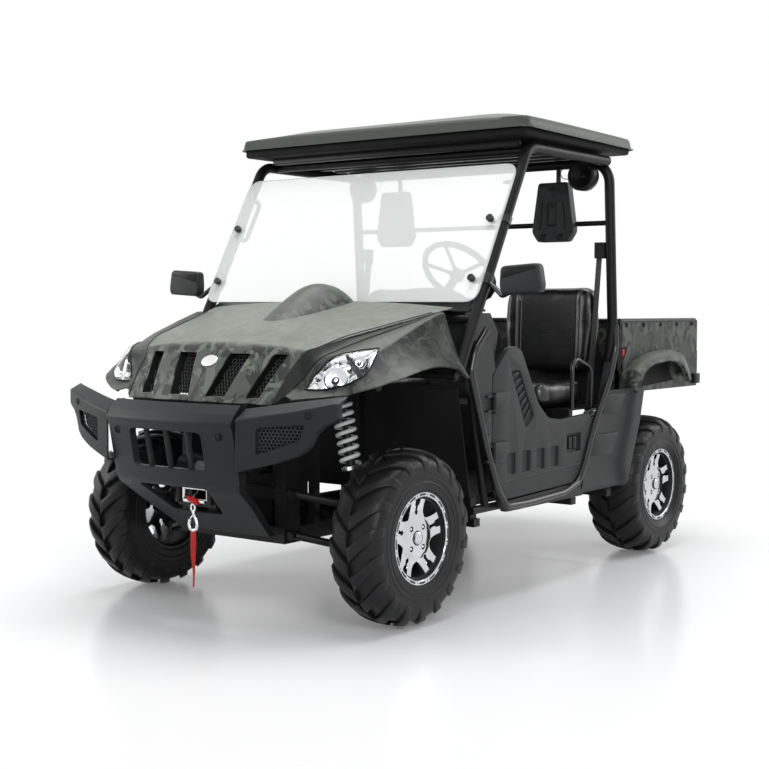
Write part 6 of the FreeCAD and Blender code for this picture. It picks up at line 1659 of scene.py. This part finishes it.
board = prism(rounded_loop([(BOARD_X - 0.074, BOARD_Y, 1.423), (BOARD_X + 0.074, BOARD_Y, 1.423),
                            (BOARD_X + 0.104, BOARD_Y, 1.468), (BOARD_X + 0.073, BOARD_Y, 1.683),
                            (BOARD_X - 0.073, BOARD_Y, 1.683), (BOARD_X - 0.104, BOARD_Y, 1.468)], 0.014),
              (0, 0.040, 0))
cuts = [slab((BOARD_X - 0.030, BOARD_Y - 0.02, 1.490), (BOARD_X + 0.022, BOARD_Y + 0.010, 1.595), 0.003),
        slab((BOARD_X - 0.062, BOARD_Y - 0.02, 1.430), (BOARD_X - 0.030, BOARD_Y + 0.012, 1.455), 0.005),
        slab((BOARD_X + 0.022, BOARD_Y - 0.02, 1.430), (BOARD_X + 0.054, BOARD_Y + 0.012, 1.455), 0.005)]
for shift in (-0.066, 0.060):
    corners = ((shift, 1.480), (shift + 0.008, 1.480), (shift * 0.8 + 0.006, 1.60), (shift * 0.8, 1.60))
    cuts.append(prism([(BOARD_X + x, BOARD_Y - 0.01, z) for x, z in corners], (0, 0.016, 0)))
carve(board, *cuts)
soften(board, 0.004, 3, 35)
tongue = slab((BOARD_X - 0.020, BOARD_Y + 0.002, 1.498), (BOARD_X + 0.022, BOARD_Y + 0.012, 1.583), 0.003)
button = spun([(-0.003, 0.001), (-0.003, 0.018), (-0.001, 0.0215), (0.004, 0.023), (0.004, 0.001)], 32,
              (BOARD_X - 0.004, BOARD_Y - 0.001, 1.640), (0, 1, 0))
stem = bar([(BOARD_X, 0.4705, 1.55), (BOARD_X, 0.4705, 1.742)], 0.011)
board_parts = [paint_on(part, side_grey) for part in (board, tongue, button)]
board_parts.append(paint_on(stem, gloss_black))
fix(both_sides(joined(*board_parts)), "head_boards", "vehicle", "cab_plastic", None, "headrests")

cup = spun([(-0.044, 0.001), (-0.042, 0.010), (-0.034, 0.015), (-0.030, 0.018), (-0.060, 0.049),
            (-0.070, 0.053), (-0.070, 0.060), (-0.064, 0.064), (-0.020, 0.064), (-0.006, 0.058),
            (0.0, 0.048), (0.0, 0.001)], 48, (0.600, 0.432, 1.700), (0, 1, 0))
lead = bar([(0.552, 0.40, 1.735), (0.512, 0.395, 1.752), (0.486, 0.39, 1.72), (0.500, 0.39, 1.694),
            (0.532, 0.40, 1.690), (0.548, 0.405, 1.700)], 0.0018, 0.02)
strap = slab((0.588, 0.395, 1.758), (0.612, 0.43, 1.775), 0.003)
fix(both_sides(paint_on(joined(cup, lead, strap), rail_black)), "speaker_cups", "vehicle", "cab_plastic",
    None, "speakers")


# Seats
# Two bucket seats of foam under black vinyl, with raised bolsters at the sides and a stitched seam along
# each. The pads are swollen by air pressure under the cover, as foam fills it, and the seams are pressed in
# after. The belts are flat woven straps, and the loops at the hips are bent tube.
SEAT_X = 0.400
SEAM_OUT = 0.150
SEAM_DEPTH = 0.009
SEAM_WIDTH = 0.006
COVER_FRAMES = 20

vinyl_black = moulded_paint("seat_vinyl", (0.0085, 0.0085, 0.0090), 0.27, 420.0, 0.0001, 0.08, 5.0,
                            specular=0.6)


def swollen(pad, cap):
    """Swell a pad with pressure under its cover, with no point moved further than the cap."""
    apply_modifier(pad, "REMESH", mode="VOXEL", voxel_size=0.0075)
    start = [vertex.co.copy() for vertex in pad.data.vertices]
    cloth = pad.modifiers.new("cover", "CLOTH")
    cloth.settings.use_pressure = True
    cloth.settings.uniform_pressure_force = 4.0
    cloth.settings.effector_weights.gravity = 0.0
    cloth.point_cache.frame_start = 1
    cloth.point_cache.frame_end = COVER_FRAMES
    for number in range(1, COVER_FRAMES + 1):
        bpy.context.scene.frame_set(number)
    shape = pad.evaluated_get(bpy.context.evaluated_depsgraph_get())
    ends = [vertex.co.copy() for vertex in shape.data.vertices]
    pad.modifiers.remove(cloth)
    bpy.context.scene.frame_set(1)
    for vertex, first, last in zip(pad.data.vertices, start, ends):
        shift = last - first
        vertex.co = first + shift * min(1, cap / max(shift.length, 0.000001))
    apply_modifier(pad, "SMOOTH", factor=0.5, iterations=24)
    apply_modifier(pad, "SUBSURF", levels=1, render_levels=1)
    return pad


def press_seams(pad, facing, bolster):
    """Raise the bolsters on the side that is sat against, and press a seam in beside each."""
    normals = [vertex.normal.copy() for vertex in pad.data.vertices]
    for vertex, normal in zip(pad.data.vertices, normals):
        front = max(normal.dot(facing), 0)
        across = abs(vertex.co.x - SEAT_X)
        out = rise(across - SEAM_OUT, 0.05) * bolster
        seam = SEAM_DEPTH * math.exp(-((across - SEAM_OUT) / SEAM_WIDTH) ** 2)
        vertex.co += facing * front * (out - seam)
    return smooth(pad, 60)


back = prism(rounded_loop([(0.190, 0.462, 0.842), (0.612, 0.462, 0.842), (0.644, 0.462, 1.05),
                           (0.628, 0.462, 1.232), (0.176, 0.462, 1.232), (0.160, 0.462, 1.05)], 0.062),
             (0, 0.062, 0))
soften(back, 0.020, 4, 40)
swollen(back, 0.011)
for vertex in back.data.vertices:
    vertex.co.y += 0.035 * (vertex.co.z - 1.03) + 0.018 * ((vertex.co.x - SEAT_X) / 0.24) ** 2 * -1
press_seams(back, Vector((0, -1, 0)), 0.012)
backs = both_sides(back)
fix(backs, "seat_back_covers", "vehicle", "seat_vinyl", vinyl_black, "seat_backs")

cushion = prism(rounded_loop([(0.192, 0.050, 0.724), (0.608, 0.050, 0.724), (0.622, 0.425, 0.724),
                              (0.178, 0.425, 0.724)], 0.055), (0, 0, 0.082))
soften(cushion, 0.024, 4, 40)
swollen(cushion, 0.014)
press_seams(cushion, Vector((0, 0, 1)), 0.010)
cushions = both_sides(cushion)
fix(cushions, "seat_cushion_covers", "vehicle", "seat_vinyl", vinyl_black, "seat_cushions")

belt_black = moulded_paint("belt_webbing", (0.011, 0.011, 0.012), 0.62, 900.0, 0.0006, 0.3, 40.0,
                           specular=0.3)
repaint(belt_black, "seat_belts")
repaint(gloss_black, "grab_loops")
repaint(rail_black, "steering_wheel")
repaint(side_grey, "dashboard")


# Windscreen, cowl and instrument pod
# One flat sheet of clear plastic with polished edges, painted light grey as a painted highlight, held to
# the front posts by four round knobs. Below it the cowl closes the hood to the dashboard, and a padded pod
# over the instruments stands behind the glass.
GLASS_LOW = 1.152
GLASS_TOP = 1.690
GLASS_HALF = 0.6950
GLASS_OUT = Vector((0, -0.8743, 0.4855))
POST_UP = (0, 0.4855, 0.8743)


def glass_y(z):
    """Where the windscreen's rear face is at a height."""
    return -0.712 + (z - 0.885) * 0.5553 - 0.030


screen_clear = moulded_paint("screen_clear", (0.92, 0.94, 0.93), 0.06, 60.0, 0.00002, 0.04, 2.0, 0.04,
                             specular=0.4)
screen_clear.node_tree.nodes["Principled BSDF"].inputs["Alpha"].default_value = 0.46
screen_edge_highlight = moulded_paint("screen_edge_highlight", (0.50, 0.53, 0.53), 0.25, 90.0, 0.00002, 0.2, 5.0, 0.1,
                           specular=0.5)
screen = prism(rounded_loop([(-GLASS_HALF, glass_y(GLASS_LOW), GLASS_LOW),
                             (GLASS_HALF, glass_y(GLASS_LOW), GLASS_LOW),
                             (GLASS_HALF, glass_y(GLASS_TOP), GLASS_TOP),
                             (-GLASS_HALF, glass_y(GLASS_TOP), GLASS_TOP)], 0.060, 10), GLASS_OUT * 0.005)
paint_on(screen, screen_clear, screen_edge_highlight)
# Painted highlight: the sheet's edge faces are light grey, for the light caught along them.
for polygon in screen.data.polygons:
    polygon.material_index = 0 if abs(polygon.normal.dot(GLASS_OUT)) > 0.9 else 1
screen_parts = [screen]
for height in (1.235, 1.465):
    for side in (-1, 1):
        base = Vector((side * 0.652, glass_y(height), height))
        knob = spun([(-0.004, 0.001), (-0.004, 0.010), (0.010, 0.009), (0.012, 0.0145), (0.026, 0.0145),
                     (0.029, 0.012), (0.029, 0.001)], 20, base, GLASS_OUT)
        arm = bar([base - GLASS_OUT * 0.004, base - GLASS_OUT * 0.014,
                   Vector((side * 0.680, glass_y(height) + 0.030, height))], 0.007, 0.01)
        collar = spun([(-0.016, 0.0215), (-0.016, 0.0265), (0.016, 0.0265), (0.016, 0.0215)], 28,
                      (side * 0.690, glass_y(height) + 0.030, height), POST_UP)
        screen_parts += [paint_on(part, gloss_black) for part in (knob, arm, collar)]
fix(joined(*screen_parts), "windscreen_sheet", "vehicle", "glass", None, "windscreen")


def cowl_form(u, v):
    """The cowl from the hood's rear edge up and back to the dashboard."""
    x = (2 * u - 1) * 0.660
    edge = hood_place(x / hood_edge(1.0)[0], 1.0) if abs(x) < hood_edge(1.0)[0] else None
    low = Vector((x, edge.y, edge.z - 0.012)) if edge else Vector((x, -0.60, 1.118))
    high = Vector((x, -0.545, 1.150))
    return low.lerp(high, min(v * 2, 1)) + Vector((0, 0.07, -0.030)) * max(2 * v - 1, 0)


cowl = formed_sheet(40, 12, cowl_form)
outward(cowl)
walled(cowl, 0.006)
fix(smooth(outward(cowl), 35), "cowl_panel", "vehicle", "cab_plastic", side_grey, "cowl")


def pod_form(u, v):
    """The instrument pod, a rounded hump."""
    around = u * math.pi * 2
    up = (1 - v) * math.pi / 2
    out = math.cos(up) ** 0.7
    return Vector((0.375 + 0.205 * math.cos(around) * out, -0.450 + 0.105 * math.sin(around) * out,
                   1.105 + 0.105 * math.sin(up)))


pod = formed_sheet(48, 16, pod_form)
fix(smooth(outward(pod), 50), "instrument_pod", "vehicle", "cab_plastic", side_grey)


# Mirrors
# Black moulded heads with a slanted crease across the front and a glass set in behind. Each is on an arm
# that is clamped round the front post.
shell = prism(rounded_loop([(0.782, -0.563, 1.178), (0.946, -0.563, 1.188), (0.952, -0.563, 1.215),
                            (0.938, -0.563, 1.296), (0.776, -0.563, 1.286), (0.772, -0.563, 1.210)], 0.020),
              (0, 0.046, 0))
soften(shell, 0.010, 4, 35)
facet = prism(rounded_loop([(0.784, -0.565, 1.240), (0.930, -0.565, 1.276), (0.926, -0.565, 1.288),
                            (0.786, -0.565, 1.279)], 0.006), (0, 0.006, 0))
soften(facet, 0.002, 2)
mirror_glass = moulded_paint("mirror_glass", (0.80, 0.82, 0.84), 0.03, 80.0, 0.00001, 0.05, 6.0, 0.02,
                             metallic=1.0, specular=0.5)
glass = slab((0.784, -0.5195, 1.192), (0.936, -0.5165, 1.280), 0.001, 1)
arm = bar([(0.690, -0.517, 1.236), (0.738, -0.530, 1.205), (0.775, -0.540, 1.176), (0.812, -0.542, 1.192)],
          0.0100, 0.02)
clamp = spun([(-0.022, 0.0215), (-0.022, 0.0270), (0.022, 0.0270), (0.022, 0.0215)], 28,
             (0.690, -0.517, 1.236), POST_UP)
mirror_parts = [paint_on(shell, side_grey), paint_on(facet, rail_black), paint_on(glass, mirror_glass),
                paint_on(arm, gloss_black), paint_on(clamp, gloss_black)]
fix(both_sides(joined(*mirror_parts)), "mirror_heads", "vehicle", "cab_plastic", None, "mirrors")


# Spring units
# A white coil spring over a black damper at each wheel, between a bright lower seat and a black upper one.
# The damper's rod is pinned to the lower wishbone, and its body to a mount on the shock tower.
COIL_RADIUS = 0.0330
COIL_WIRE = 0.0078
COIL_TURNS = 7.0

coil_white = moulded_paint("coil_white", (0.72, 0.73, 0.73), 0.28, 300.0, 0.0001, 0.2, 25.0, 0.1,
                           specular=0.5)


def spring_unit(foot, top):
    """A coil, a damper and their seats between two points."""
    axis = (top - foot).normalized()
    first = axis.orthogonal().normalized()
    second = axis.cross(first)
    length = (top - foot).length

    def coil_form(u, v):
        """The coil's round wire."""
        turn = v * COIL_TURNS * 2 * math.pi
        out = first * math.cos(turn) + second * math.sin(turn)
        ring = out * math.cos(2 * math.pi * u) + axis * math.sin(2 * math.pi * u)
        return foot.lerp(top, 0.30 + 0.58 * v) + out * COIL_RADIUS + ring * COIL_WIRE

    coil = outward(formed_sheet(9, 150, coil_form))
    damper = spun([(0.06 * length, 0.001), (0.06 * length, 0.0085), (0.24 * length, 0.0085),
                   (0.24 * length, 0.0175), (0.60 * length, 0.0175), (0.60 * length, 0.010),
                   (0.88 * length, 0.010), (0.88 * length, 0.030), (0.92 * length, 0.030),
                   (0.93 * length, 0.016), (length, 0.014), (length, 0.001)], 24, foot, axis)
    seat = spun([(0.235 * length, 0.008), (0.240 * length, 0.035), (0.275 * length, 0.036),
                 (0.285 * length, 0.030), (0.285 * length, 0.008)], 28, foot, axis)
    rod = spun([(-0.012, 0.001), (-0.012, 0.010), (0.16 * length, 0.0095), (0.16 * length, 0.001)], 16, foot,
               axis)
    return [paint_on(smooth(coil, 60), coil_white), paint_on(damper, rail_black),
            paint_on(seat, bare_silver), paint_on(rod, steel_bright)]


units = (spring_unit(Vector((0.410, -0.955, 0.448)), Vector((0.337, -0.955, 0.8207)))
         + spring_unit(Vector((0.410, 0.955, 0.448)), Vector((0.337, 0.955, 0.6757))))
fix(both_sides(joined(*units)), "coil_springs", "vehicle", "spring_steel", None, "shocks")
